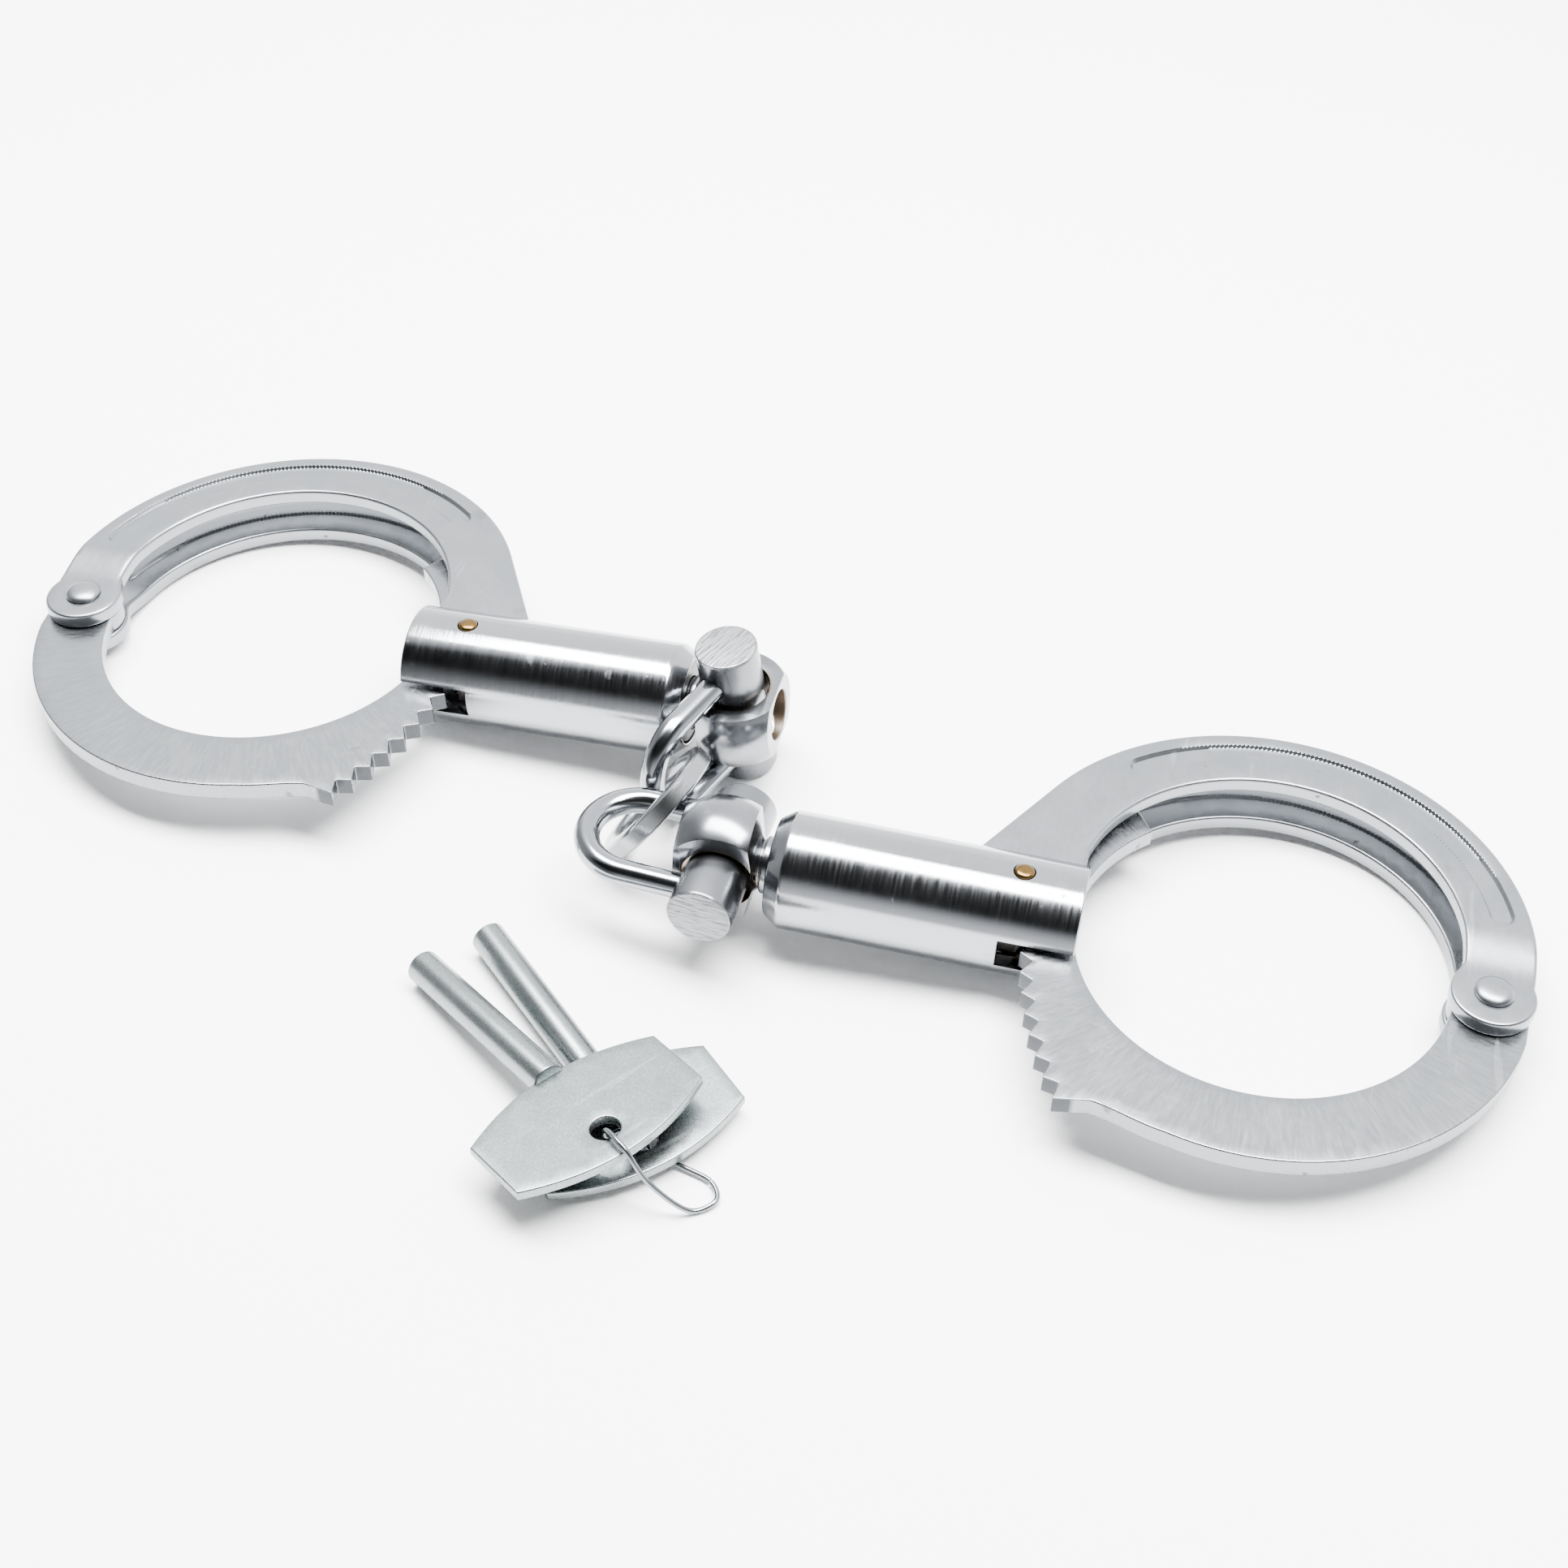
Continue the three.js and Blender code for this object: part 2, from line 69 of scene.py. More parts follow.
BARREL = dict(outer=10, bore=7.5, start=-10.3, shoulder=38.5, end=41.2, end_radius=8.1)
SLOT = dict(half=2.85, end=2.2)
WINDOW = dict(half=6.15, end=8.6)
GLAND = dict(radius=7.2, bore=4.6, start=35.4, end=40.9)

CHEEK = dict(inside=3.1, outside=5.9, step=1.35, step_top=12, step_bottom=2.5, edge=0.55)
CHEEK_INNER = dict(x=-40.2, y=5.7, radius=31.4)
CHEEK_OUTER = dict(x=-39.7, y=5, radius=43.4)
CHEEK_LOBE = 6.95
# where each arc of the cheek's edge starts and ends, in degrees
CHEEK_ARCS = dict(outer=(28.9, 184.5), lobe=(158, 390), inner=(180.9, 12))
CHEEK_THROAT = ((-71.59, 4.39), (-71.6, 5.2))
# the cheek steps in only where x is below this
STEP_SIDE = -60
TONGUE = dict(left=-9.5, right=8.2, bottom=-3.5, top=8.3)
# the radius at which patterns that run round a cuff keep their true length
CUFF_RADIUS = 38
GROOVE = dict(x=-40, y=5.5, middle=38.3, half=2.1, start=50, end=165, depth=0.6, wall=0.5)
# the rows of points that carry the groove's shape, by their distance from its middle
GROOVE_ROWS = (0, 0.7, 1.2, 1.4, 1.6, 1.8, 1.95, 2.1, 2.3)

BOW = dict(half=1.65, x=-40, y=1.2, inner=30.8, outer=43.4, lobe=6.5, edge=0.32, tooth_edge=0.15)
BOW_ARCS = dict(outer=(192, 285), inner=(47.3, -172), lobe=(-12, 182))
BOW_HEEL = ((-24.5, -40.1), (-21.5, -38.4), (-17, -37.6))
TEETH = dict(pitch=10 / 3, first=-30, count=18, tip=75.4, root=73.2, lean=0.4, wear=0.36)
BOLT = dict(gap=0.18, half_height=2.6, half_width=6.4, blade_end=9.4, body_end=22, radius=7.2, stem=1.6)
SPRING = dict(radius=5.2, wire=0.45, start=22.8, end=31, turns=5, pressed=0.68)
DOWEL = dict(radius=1.75, bottom=3.4, shoulder=9.6, top=10.5)
RIVET = dict(shank=2.2, head=3.2, seat=4.65, top=5.9)

# the swivel, from the middle of its eye: head and stem in the barrel, then collar, neck and ball
HEAD = dict(start=-17.8, end=-14.5, radius=6.6)
STEM = dict(end=-7.9, radius=4.4)
COLLAR = dict(end=-6.9, radius=4.9)
NECK = ((4.2, -6.5), (4.7, -5.9), (6.2, -5.3))
BALL = 10.5
BALL_FLAT = 5.6
BALL_FLAT_START = -5.85
BALL_START = -4.8
BALL_FACE = 7.6
CROSS_BORE = 6.2
KEYHOLE = 3.3
MOUTH = 4.5
# how far the cutting tools reach from the middle of the swivel or pin, past its every side
TOOL_REACH = 12
PIN = dict(radius=5.5, back=-12.8, front=14.6, hole=2.3)
BAIL = dict(wire=2.2, half=8.8, reach=23.6, leg_start=-2)
LINK = dict(radius=10.5, half_width=1.95, half_thickness=1.7, flat=0.35, square=0.75)

SHANK = dict(radius=2.9, bore=1.75, depth=14, length=36.2)
THREAD = dict(pitch=0.7, depth=0.22, end=0.6)
PLATE = dict(start=35.6, depth=21.5, ends=12.5, half=17.65, half_thickness=0.9, edge=0.3)
PLATE_HOLE = dict(radius=2.4, x=51)
RING_WIRE = 0.45
RING_CLOSED = 0.994
# the wire's path, from the middle of the upper key's hole
RING_PATH = (
    (16.06, -3.59, -7.88),
    (16.76, -7.19, -7.88),
    (12.56, -9.09, -7.63),
    (6.66, -7.89, -2.23),
    (3.26, -5.39, 2.57),
    (0.66, -1.99, 2.47),
    (-0.14, -0.09, 0.07),
    (0.16, 1.11, -2.33),
    (2.66, 2.91, -3.13),
    (4.86, 3.21, -3.93),
    (5.66, 2.51, -5.93),
    (7.36, 1.41, -7.63),
    (12.06, -0.89, -7.88),
)


# ------------------------------------------------------------------ frames of reference


def axes(origin, x_axis, z_axis):
    """The frame at origin with this x axis, and with the z axis squared to it."""
    x = Vector(x_axis).normalized()
    z = Vector(z_axis)
    z = (z - x * z.dot(x)).normalized()
    turn = Matrix((x, z.cross(x), z)).transposed().to_4x4()
    return Matrix.Translation(origin) @ turn


def cuff_frame(side):
    turn = JOINTS[f"{side}_swivel_turn"]
    x = Vector(turn["axis"])
    return axes(Vector(turn["pos_m"]) - x * SWIVEL_CENTRE * MM, x, JOINTS[f"{side}_bow_swing"]["axis"])


def swivel_frame(side):
    """x along the barrel and z along the cross bore, from the middle of the eye."""
    turn = JOINTS[f"{side}_swivel_turn"]
    return axes(Vector(turn["pos_m"]), turn["axis"], JOINTS[f"{side}_shackle_swing"]["axis"])


def shackle_frame(side):
    """z along the cross pin and x towards the bend of the bail, from the middle of the pin."""
    pin = Vector(JOINTS[f"{side}_shackle_swing"]["pos_m"])
    bend = JOINTS["link_tilt" if side == "left" else "right_shackle_tilt"]
    return axes(pin, Vector(bend["pos_m"]) - pin, JOINTS[f"{side}_shackle_swing"]["axis"])


def points_of(node):
    return np.array([vertex.co for vertex in frame["nodes"][node].data.vertices])


def spread(points):
    """The axes along which the points spread, least first."""
    return np.linalg.eigh(np.cov((points - points.mean(0)).T))[1].T


def link_frame():
    points = points_of("chain_link")
    thin, wide = spread(points)[:2]
    return axes(Vector(points.mean(0)), wide, thin)


def key_frame(key):
    """x along the shank from its open tip, z square to the handle plate."""
    shank, plate = points_of(f"{key}_shank"), points_of(f"{key}_plate")
    along = spread(shank)[2]
    along = along * np.sign((plate.mean(0) - shank.mean(0)) @ along)
    across = spread(plate)[0]
    across = across * np.sign(across[2])
    centre = shank.mean(0)
    tip = centre + along * ((shank - centre) @ along).min()
    return axes(Vector(tip), along, across)


# ------------------------------------------------------------------ meshes


def mesh_from(name, points, faces):
    """A mesh in metres from points in millimetres."""
    mesh = bpy.data.meshes.new(name)
    mesh.from_pydata([tuple(float(v) * MM for v in point) for point in points], [], faces)
    mesh.validate()
    mesh.update()
    return mesh


def turned(profile, sides=128, axis="x", turns_closed=False):
    """Points and faces of a solid turned about an axis from (radius, height) points."""
    points, faces, rings = [], [], []
    for radius, height in profile:
        if radius < 1e-6:
            rings.append([len(points)] * sides)
            points.append((0, 0, height))
            continue
        rings.append(list(range(len(points), len(points) + sides)))
        for i in range(sides):
            angle = 2 * math.pi * i / sides
            points.append((radius * math.cos(angle), radius * math.sin(angle), height))
    pairs = list(zip(rings, rings[1:]))
    if turns_closed:
        pairs.append((rings[-1], rings[0]))
    for low, high in pairs:
        for i in range(sides):
            j = (i + 1) % sides
            face = list(dict.fromkeys((low[i], low[j], high[j], high[i])))
            if len(face) > 2:
                faces.append(face)
    if axis == "x":
        points = [(z, x, y) for x, y, z in points]
    return points, faces


def rounded(corners, radius, steps=5, closed=False):
    """The corners of a line of points, each turned into a small arc."""
    count = len(corners)
    out = []
    for i, corner in enumerate(corners):
        here = np.array(corner, float)
        if not closed and i in (0, count - 1):
            out.append(tuple(here))
            continue
        before = np.array(corners[i - 1], float) - here
        after = np.array(corners[(i + 1) % count], float) - here
        reach = min(radius, 0.45 * np.linalg.norm(before), 0.45 * np.linalg.norm(after))
        a = here + before / np.linalg.norm(before) * reach
        b = here + after / np.linalg.norm(after) * reach
        for step in range(steps + 1):
            t = step / steps
            out.append(tuple((1 - t) ** 2 * a + 2 * t * (1 - t) * here + t * t * b))
    return out


def resampled(points, spacing):
    """A closed outline with its long edges split, every corner kept."""
    out = []
    for i, point in enumerate(points):
        a = np.array(point, float)
        b = np.array(points[(i + 1) % len(points)], float)
        parts = max(1, math.ceil(np.linalg.norm(b - a) / spacing))
        out.extend(a + (b - a) * part / parts for part in range(parts))
    return np.array(out)


def arc(x, y, radius, start, end, step=0.7):
    """Points on an arc between two angles in degrees."""
    count = max(2, math.ceil(abs(math.radians(end - start)) * radius / step))
    angles = [math.radians(start + (end - start) * i / count) for i in range(count + 1)]
    return [(x + radius * math.cos(angle), y + radius * math.sin(angle)) for angle in angles]


def curved(points, steps=16):
    """A Bezier curve of any order through its control points."""
    out = []
    for step in range(1, steps + 1):
        level = [np.array(point, float) for point in points]
        while len(level) > 1:
            level = [a + (b - a) * step / steps for a, b in zip(level, level[1:])]
        out.append(tuple(level[0]))
    return out


def inset(outline, distance):
    """The outline moved inwards by one distance, or by one for each point; it runs anticlockwise."""
    before = outline - np.roll(outline, 1, axis=0)
    after = np.roll(outline, -1, axis=0) - outline
    before /= np.linalg.norm(before, axis=1)[:, None]
    after /= np.linalg.norm(after, axis=1)[:, None]
    tangent = before + after
    tangent /= np.maximum(np.linalg.norm(tangent, axis=1), 1e-6)[:, None]
    normal = np.stack([-tangent[:, 1], tangent[:, 0]], axis=1)
    stretch = np.maximum((normal * np.stack([-after[:, 1], after[:, 0]], axis=1)).sum(1), 0.5)
    return outline + normal * (distance / stretch)[:, None]


def inside(points, outline):
    """Which points are inside a closed outline."""
    x, y = points[:, 0][:, None], points[:, 1][:, None]
    ax, ay = outline.T
    bx, by = np.roll(outline, -1, axis=0).T
    crosses = (ay > y) != (by > y)
    at = ax + (y - ay) * (bx - ax) / np.where(by == ay, 1e-12, by - ay)
    return (crosses & (x < at)).sum(1) % 2 == 1


def apart(points, from_points, distance):
    """Which points are further than distance from every one of from_points."""
    gap = np.linalg.norm(points[:, None, :] - from_points[None, :, :], axis=2)
    return gap.min(1) > distance


def grid(outline, spacing):
    low, high = outline.min(0), outline.max(0)
    rows = np.arange(low[1], high[1], spacing * 0.866)
    columns = np.arange(low[0], high[0], spacing)
    return np.array([(x + (i % 2) * spacing / 2, y) for i, y in enumerate(rows) for x in columns])


def filled(ring, extra, spacing, holes):
    """Points and triangles between a closed ring and its holes, with even points inside."""
    solid_edges = [ring, *holes]
    border = np.vstack(solid_edges)
    even = grid(ring, spacing)
    loose = np.vstack([extra, even[apart(even, np.vstack([border, extra]), spacing * 0.6)]])
    loose = loose[inside(loose, ring) & apart(loose, border, min(spacing, 0.5) * 0.6)]
    for hole in holes:
        loose = loose[~inside(loose, hole)]
    points = np.vstack([border, loose])
    edges, start = [], 0
    for loop in solid_edges:
        edges.extend((start + i, start + (i + 1) % len(loop)) for i in range(len(loop)))
        start += len(loop)
    found, _, triangles, *_ = delaunay_2d_cdt([Vector(p) for p in points], edges, [], 1, 1e-7)
    if len(found) != len(points):
        raise ValueError("an outline crosses itself")
    triangles = np.array(triangles)
    middles = points[triangles].mean(1)
    keep = inside(middles, ring)
    for hole in holes:
        keep &= ~inside(middles, hole)
    return points, triangles[keep]


def cut_plate(outline, top, bottom, edge, spacing=1.6, extra=None, holes=(), steps=4):
    """Points and faces of a plate with rounded edges. top and bottom give its height at (x, y) points."""
    turns = [math.pi / 2 * step / steps for step in range(steps + 1)]
    rims = []
    points, faces = [], []
    for loop in [outline, *(hole[::-1] for hole in holes)]:
        broken = edge if loop is outline else np.mean(edge)
        rings = []
        for side, sign in ((top, -1), (bottom, 1)):
            for turn in turns[::-1] if side is top else turns:
                flat = inset(loop, broken * (1 - math.cos(turn)))
                height = side(flat) + sign * broken * (1 - math.sin(turn))
                rings.append(list(range(len(points), len(points) + len(flat))))
                points.extend((x, y, z) for (x, y), z in zip(flat, height))
        for upper, lower in zip(rings, rings[1:]):
            for i in range(len(upper)):
                j = (i + 1) % len(upper)
                faces.append((upper[i], lower[i], lower[j], upper[j]))
        rims.append((inset(loop, broken), rings[0], rings[-1]))
    flat_extra = np.zeros((0, 2)) if extra is None else extra
    flat, triangles = filled(rims[0][0], flat_extra, spacing, [rim[0][::-1] for rim in rims[1:]])
    border = sum(len(rim[0]) for rim in rims)
    for side, which, flip in ((top, 1, False), (bottom, 2, True)):
        index = list(rims[0][which])
        for rim in rims[1:]:
            index.extend(rim[which][::-1])
        index.extend(range(len(points), len(points) + len(flat) - border))
        points.extend((x, y, z) for (x, y), z in zip(flat[border:], side(flat[border:])))
        for a, b, c in triangles:
            face = (index[a], index[b], index[c])
            faces.append(face[::-1] if flip else face)
    return points, faces


def flat_plate(outline, half, edge, **how):
    """Points and faces of a plate with level faces."""

    def top(flat):
        return np.full(len(flat), half)

    def bottom(flat):
        return np.full(len(flat), -half)

    return cut_plate(outline, top, bottom, edge, **how)


def swept(path, section, normal=(0, 1, 0)):
    """Points and faces of a section of (sideways, upwards) points carried along a path of 3-D points."""
    path = np.array(path, float)
    count = len(path)
    up = np.array(normal, float)
    points, faces = [], []
    for i in range(count):
        ahead = path[min(i + 1, count - 1)]
        behind = path[max(i - 1, 0)]
        along = (ahead - behind) / np.linalg.norm(ahead - behind)
        up = up - along * (up @ along)
        up /= np.linalg.norm(up)
        out = np.cross(along, up)
        points.extend(path[i] + out * u + up * v for u, v in section)
    size = len(section)
    for i in range(count - 1):
        for j in range(size):
            k = (j + 1) % size
            a, b = i * size, (i + 1) * size
            faces.append((a + j, a + k, b + k, b + j))
    faces.append(tuple(range(size))[::-1])
    faces.append(tuple(range((count - 1) * size, count * size)))
    return points, faces


def circle(radius, sides):
    angles = [2 * math.pi * i / sides for i in range(sides)]
    return [(radius * math.cos(a), radius * math.sin(a)) for a in angles]


def box_solid(low, high):
    points = [(x, y, z) for x in (low[0], high[0]) for y in (low[1], high[1]) for z in (low[2], high[2])]
    return points, [(0, 1, 3, 2), (4, 6, 7, 5), (0, 4, 5, 1), (2, 3, 7, 6), (0, 2, 6, 4), (1, 5, 7, 3)]


def rod_solid(radius, low, high, axis="z", centre=(0, 0, 0), sides=96):
    points, faces = turned([(0, low), (radius, low), (radius, high), (0, high)], sides, axis)
    return [tuple(np.array(point) + centre) for point in points], faces


def machined(name, blank, cuts, bevel):
    """A blank with other solids cut out of it and its new edges broken."""
    thing = bpy.data.objects.new(name, mesh_from(name, *blank))
    bpy.context.scene.collection.objects.link(thing)
    tools = []
    for number, cut in enumerate(cuts):
        tool = bpy.data.objects.new(f"{name}_tool_{number}", mesh_from(f"{name}_tool_{number}", *cut))
        bpy.context.scene.collection.objects.link(tool)
        step = thing.modifiers.new(f"cut_{number}", "BOOLEAN")
        step.operation = "DIFFERENCE"
        step.solver = "EXACT"
        step.object = tool
        tools.append(tool)
    softened = thing.modifiers.new("edges", "BEVEL")
    softened.width = bevel * MM
    softened.segments = 3
    softened.limit_method = "ANGLE"
    softened.angle_limit = SHARP
    softened.use_clamp_overlap = True
    bpy.context.view_layer.update()
    made = thing.evaluated_get(bpy.context.evaluated_depsgraph_get())
    mesh = bpy.data.meshes.new_from_object(made)
    mesh.name = name
    for old in [thing, *tools]:
        bpy.data.objects.remove(old)
    return mesh


# ------------------------------------------------------------------ materials


class Shader:
    """A metal built up from patterns laid out in each piece's own frame, in metres."""

    def __init__(self, name, colour, roughness):
        self.material = bpy.data.materials.new(name)
        self.material.use_nodes = True
        self.tree = self.material.node_tree
        self.surface = self.tree.nodes["Principled BSDF"]
        self.surface.inputs["Metallic"].default_value = 1
        self.surface.inputs["Base Color"].default_value = (*colour, 1)
        self.surface.inputs["Roughness"].default_value = roughness
        self.colour = (*colour, 1)
        self.colour_from = None
        self.roughness = roughness
        self.roughness_from = None
        self.normal_from = None
        self.place = self.node("ShaderNodeAttribute", attribute_name=OWN_FRAME).outputs["Vector"]

    def node(self, kind, **settings):
        node = self.tree.nodes.new(kind)
        for key, value in settings.items():
            setattr(node, key, value)
        return node

    def link(self, output, socket):
        self.tree.links.new(output, socket)

    def math(self, operation, a, b=None):
        node = self.node("ShaderNodeMath", operation=operation)
        for socket, value in zip(node.inputs, (a, b)):
            if value is None:
                continue
            if isinstance(value, (int, float)):
                socket.default_value = value
            else:
                self.link(value, socket)
        return node.outputs[0]

    def split(self):
        node = self.node("ShaderNodeSeparateXYZ")
        self.link(self.place, node.inputs[0])
        return node.outputs

    def stretched(self, scale, source=None):
        node = self.node("ShaderNodeMapping")
        node.inputs["Scale"].default_value = scale
        self.link(source or self.place, node.inputs["Vector"])
        return node.outputs[0]

    def distance(self, across, along):
        square = [self.math("MULTIPLY", part, part) for part in (across, along)]
        return self.math("SQRT", self.math("ADD", *square))

    def around(self, x, y):
        """Coordinates that run round a centre: arc length at a cuff's radius, radius, height."""
        px, py, pz = self.split()
        dx = self.math("SUBTRACT", px, x * MM)
        dy = self.math("SUBTRACT", py, y * MM)
        angle = self.math("ARCTAN2", dy, dx)
        node = self.node("ShaderNodeCombineXYZ")
        self.link(self.math("MULTIPLY", angle, CUFF_RADIUS * MM), node.inputs[0])
        self.link(self.distance(dx, dy), node.inputs[1])
        self.link(pz, node.inputs[2])
        return node.outputs[0]

    def noise(self, scale, detail=3, stretch=(1, 1, 1), source=None, rough=0.55):
        node = self.node("ShaderNodeTexNoise")
        node.inputs["Scale"].default_value = scale
        node.inputs["Detail"].default_value = detail
        node.inputs["Roughness"].default_value = rough
        self.link(self.stretched(stretch, source), node.inputs["Vector"])
        return node.outputs["Fac"]

    def ranged(self, value, low, high, to_low=0.0, to_high=1.0):
        node = self.node("ShaderNodeMapRange")
        node.clamp = True
        for key, number in zip(("From Min", "From Max", "To Min", "To Max"), (low, high, to_low, to_high)):
            node.inputs[key].default_value = number
        self.link(value, node.inputs["Value"])
        return node.outputs["Result"]

    def tint(self, mask, colour, strength=1.0):
        """Mixes a colour in where the mask is 1."""
        node = self.node("ShaderNodeMix", data_type="RGBA")
        self.link(self.math("MULTIPLY", mask, strength), node.inputs["Factor"])
        if self.colour_from is None:
            node.inputs[6].default_value = self.colour
        else:
            self.link(self.colour_from, node.inputs[6])
        node.inputs[7].default_value = (*colour, 1)
        self.colour_from = node.outputs[2]

    def roughen(self, pattern, amount):
        """Adds pattern * amount to the roughness."""
        part = self.math("MULTIPLY", pattern, amount)
        base = self.roughness if self.roughness_from is None else self.roughness_from
        self.roughness_from = self.math("ADD", part, base)

    def bump(self, pattern, height_mm, strength=1.0):
        node = self.node("ShaderNodeBump")
        node.inputs["Strength"].default_value = strength
        node.inputs["Distance"].default_value = height_mm * MM
        self.link(pattern, node.inputs["Height"])
        if self.normal_from is not None:
            self.link(self.normal_from, node.inputs["Normal"])
        self.normal_from = node.outputs["Normal"]

    def done(self):
        if self.colour_from is not None:
            self.link(self.colour_from, self.surface.inputs["Base Color"])
        if self.roughness_from is not None:
            self.link(self.roughness_from, self.surface.inputs["Roughness"])
        if self.normal_from is not None:
            self.link(self.normal_from, self.surface.inputs["Normal"])
        return self.material


def worn(shader, specks=0.0, mottle=0.05):
    """Handling marks that every plated piece shares: cloudy patches, fine scratches and rare dark specks."""
    shader.roughen(shader.math("SUBTRACT", shader.noise(130, 4), 0.5), mottle * 2)
    scratches = shader.ranged(shader.noise(420, 2, (1, 0.08, 1)), 0.68, 0.72)
    shader.roughen(scratches, 0.08)
    if specks:
        pits = shader.ranged(shader.noise(520, 2, rough=0.4), 0.74, 0.79)
        shader.tint(pits, (0.05, 0.046, 0.042), specks)
        shader.roughen(pits, 0.3 * specks)


def barrel_metal():
    """Brushed round its girth, so that the edges of the reflections are ragged."""
    shader = Shader("satin_barrel", (0.27, 0.281, 0.297), 0.16)
    hoops = shader.noise(1, 3, (2300, 130, 130))
    shader.bump(hoops, 0.02, 0.6)
    shader.roughen(shader.math("SUBTRACT", hoops, 0.5), 0.2)
    streaks = shader.noise(1, 2, (160, 2600, 2600))
    shader.bump(streaks, 0.006, 0.3)
    worn(shader, specks=0.5, mottle=0.05)
    return shader.done()


def cheek_metal():
    """Dull plating over pressed sheet, with a fine skin and a few stains."""
    shader = Shader("satin_cheek", (0.208, 0.219, 0.233), 0.3)
    shader.bump(shader.noise(2900, 3), 0.008, 0.5)
    shader.bump(shader.noise(420, 2), 0.014, 0.5)
    shader.roughen(shader.math("SUBTRACT", shader.noise(1, 2, (1500, 400, 400)), 0.5), 0.08)
    stains = shader.ranged(shader.noise(75, 3), 0.69, 0.78)
    shader.tint(stains, (0.09, 0.085, 0.085), 0.35)
    worn(shader, specks=0.7, mottle=0.07)
    return shader.done()


def tooth_flank_shade(shader, px, py, pz):
    """Painted shade on the walls among the teeth: dark on each tooth's short flank, and patchy on the long one."""
    wall = shader.ranged(shader.math("ABSOLUTE", pz), (BOW["half"] - 0.04) * MM, (BOW["half"] - 0.2) * MM)
    across = shader.math("SUBTRACT", px, HINGE[0] * MM)
    upwards = shader.math("SUBTRACT", py, HINGE[1] * MM)
    reach = shader.distance(across, upwards)
    among_teeth = shader.ranged(reach, (TEETH["root"] - 1.2) * MM, (TEETH["root"] - 0.4) * MM)
    tooth_wall = shader.math("MULTIPLY", wall, among_teeth)
    turn = shader.math("SUBTRACT", shader.math("ARCTAN2", upwards, across), math.radians(TEETH["first"]))
    phase = shader.math("FRACT", shader.math("DIVIDE", turn, math.radians(TEETH["pitch"])))
    short_flank = shader.ranged(phase, 0.97 - TEETH["lean"], 1.03 - TEETH["lean"])
    patchy = shader.ranged(shader.noise(260, 2), 0.42, 0.62, 0.15, 0.9)
    return shader.math("MULTIPLY", tooth_wall, shader.math("MAXIMUM", short_flank, patchy))


def bow_metal():
    """Ground across its width, with deeper marks and dark pits towards the teeth, and painted shade on the teeth's
    flanks.
    """
    shader = Shader("brushed_bow", (0.196, 0.207, 0.219), 0.28)
    polar = shader.around(BOW["x"], BOW["y"])
    lines = shader.noise(1, 3, (2100, 330, 330), polar)
    shader.bump(lines, 0.018, 0.5)
    shader.roughen(shader.math("SUBTRACT", lines, 0.5), 0.2)
    cuts = shader.ranged(shader.noise(1, 2, (1100, 300, 300), polar), 0.66, 0.7)
    shader.bump(cuts, 0.04, -0.6)
    px, py, pz = shader.split()
    near_teeth = shader.ranged(px, -34 * MM, -12 * MM)
    # painted shade: the walls among the teeth darkened almost to black
    shader.tint(tooth_flank_shade(shader, px, py, pz), (0.014, 0.015, 0.017), 0.85)
    pits = shader.math("MULTIPLY", shader.ranged(shader.noise(300, 3), 0.61, 0.67), near_teeth)
    shader.tint(pits, (0.06, 0.055, 0.05), 0.7)
    shader.roughen(pits, 0.25)
    worn(shader, specks=0.6)
    return shader.done()


def polished_metal():
    shader = Shader("polished_chrome_wire", (0.235, 0.246, 0.262), 0.15)
    shader.bump(shader.noise(900, 2), 0.006, 0.35)
    shader.bump(shader.noise(240, 2), 0.02, 0.3)
    worn(shader, mottle=0.05)
    return shader.done()


def swivel_metal():
    """Polished outside; tan, unplated metal in the cross bore and round the mouth of the keyhole."""
    shader = Shader("polished_swivel", (0.205, 0.214, 0.227), 0.2)
    px, py, pz = shader.split()
    in_bore = shader.ranged(shader.distance(px, py), (CROSS_BORE + 0.4) * MM, (CROSS_BORE + 0.1) * MM)
    shader.tint(in_bore, (0.2, 0.15, 0.09), 0.75)
    in_mouth = shader.ranged(shader.distance(py, pz), (MOUTH + 0.3) * MM, (MOUTH + 0.05) * MM)
    stained = shader.math("MULTIPLY", in_mouth, shader.ranged(px, 2 * MM, 5 * MM))
    shader.tint(stained, (0.13, 0.08, 0.04), 0.85)
    shader.roughen(stained, 0.25)
    clouds = shader.ranged(shader.noise(110, 3), 0.4, 0.7)
    shader.tint(clouds, (0.11, 0.115, 0.124), 0.6)
    shader.bump(shader.noise(330, 3), 0.03, 0.35)
    shader.bump(shader.noise(1, 2, (2200, 150, 150)), 0.006, 0.4)
    worn(shader, specks=0.5, mottle=0.06)
    return shader.done()


def link_metal():
    """Ground by hand: dull, with coarse marks along the ring."""
    shader = Shader("ground_link", (0.25, 0.258, 0.268), 0.25)
    polar = shader.around(0, 0)
    shader.bump(shader.noise(1, 3, (70, 1500, 1500), polar), 0.03, 0.6)
    shader.bump(shader.noise(260, 2), 0.04, 0.4)
    worn(shader, specks=0.6, mottle=0.08)
    return shader.done()


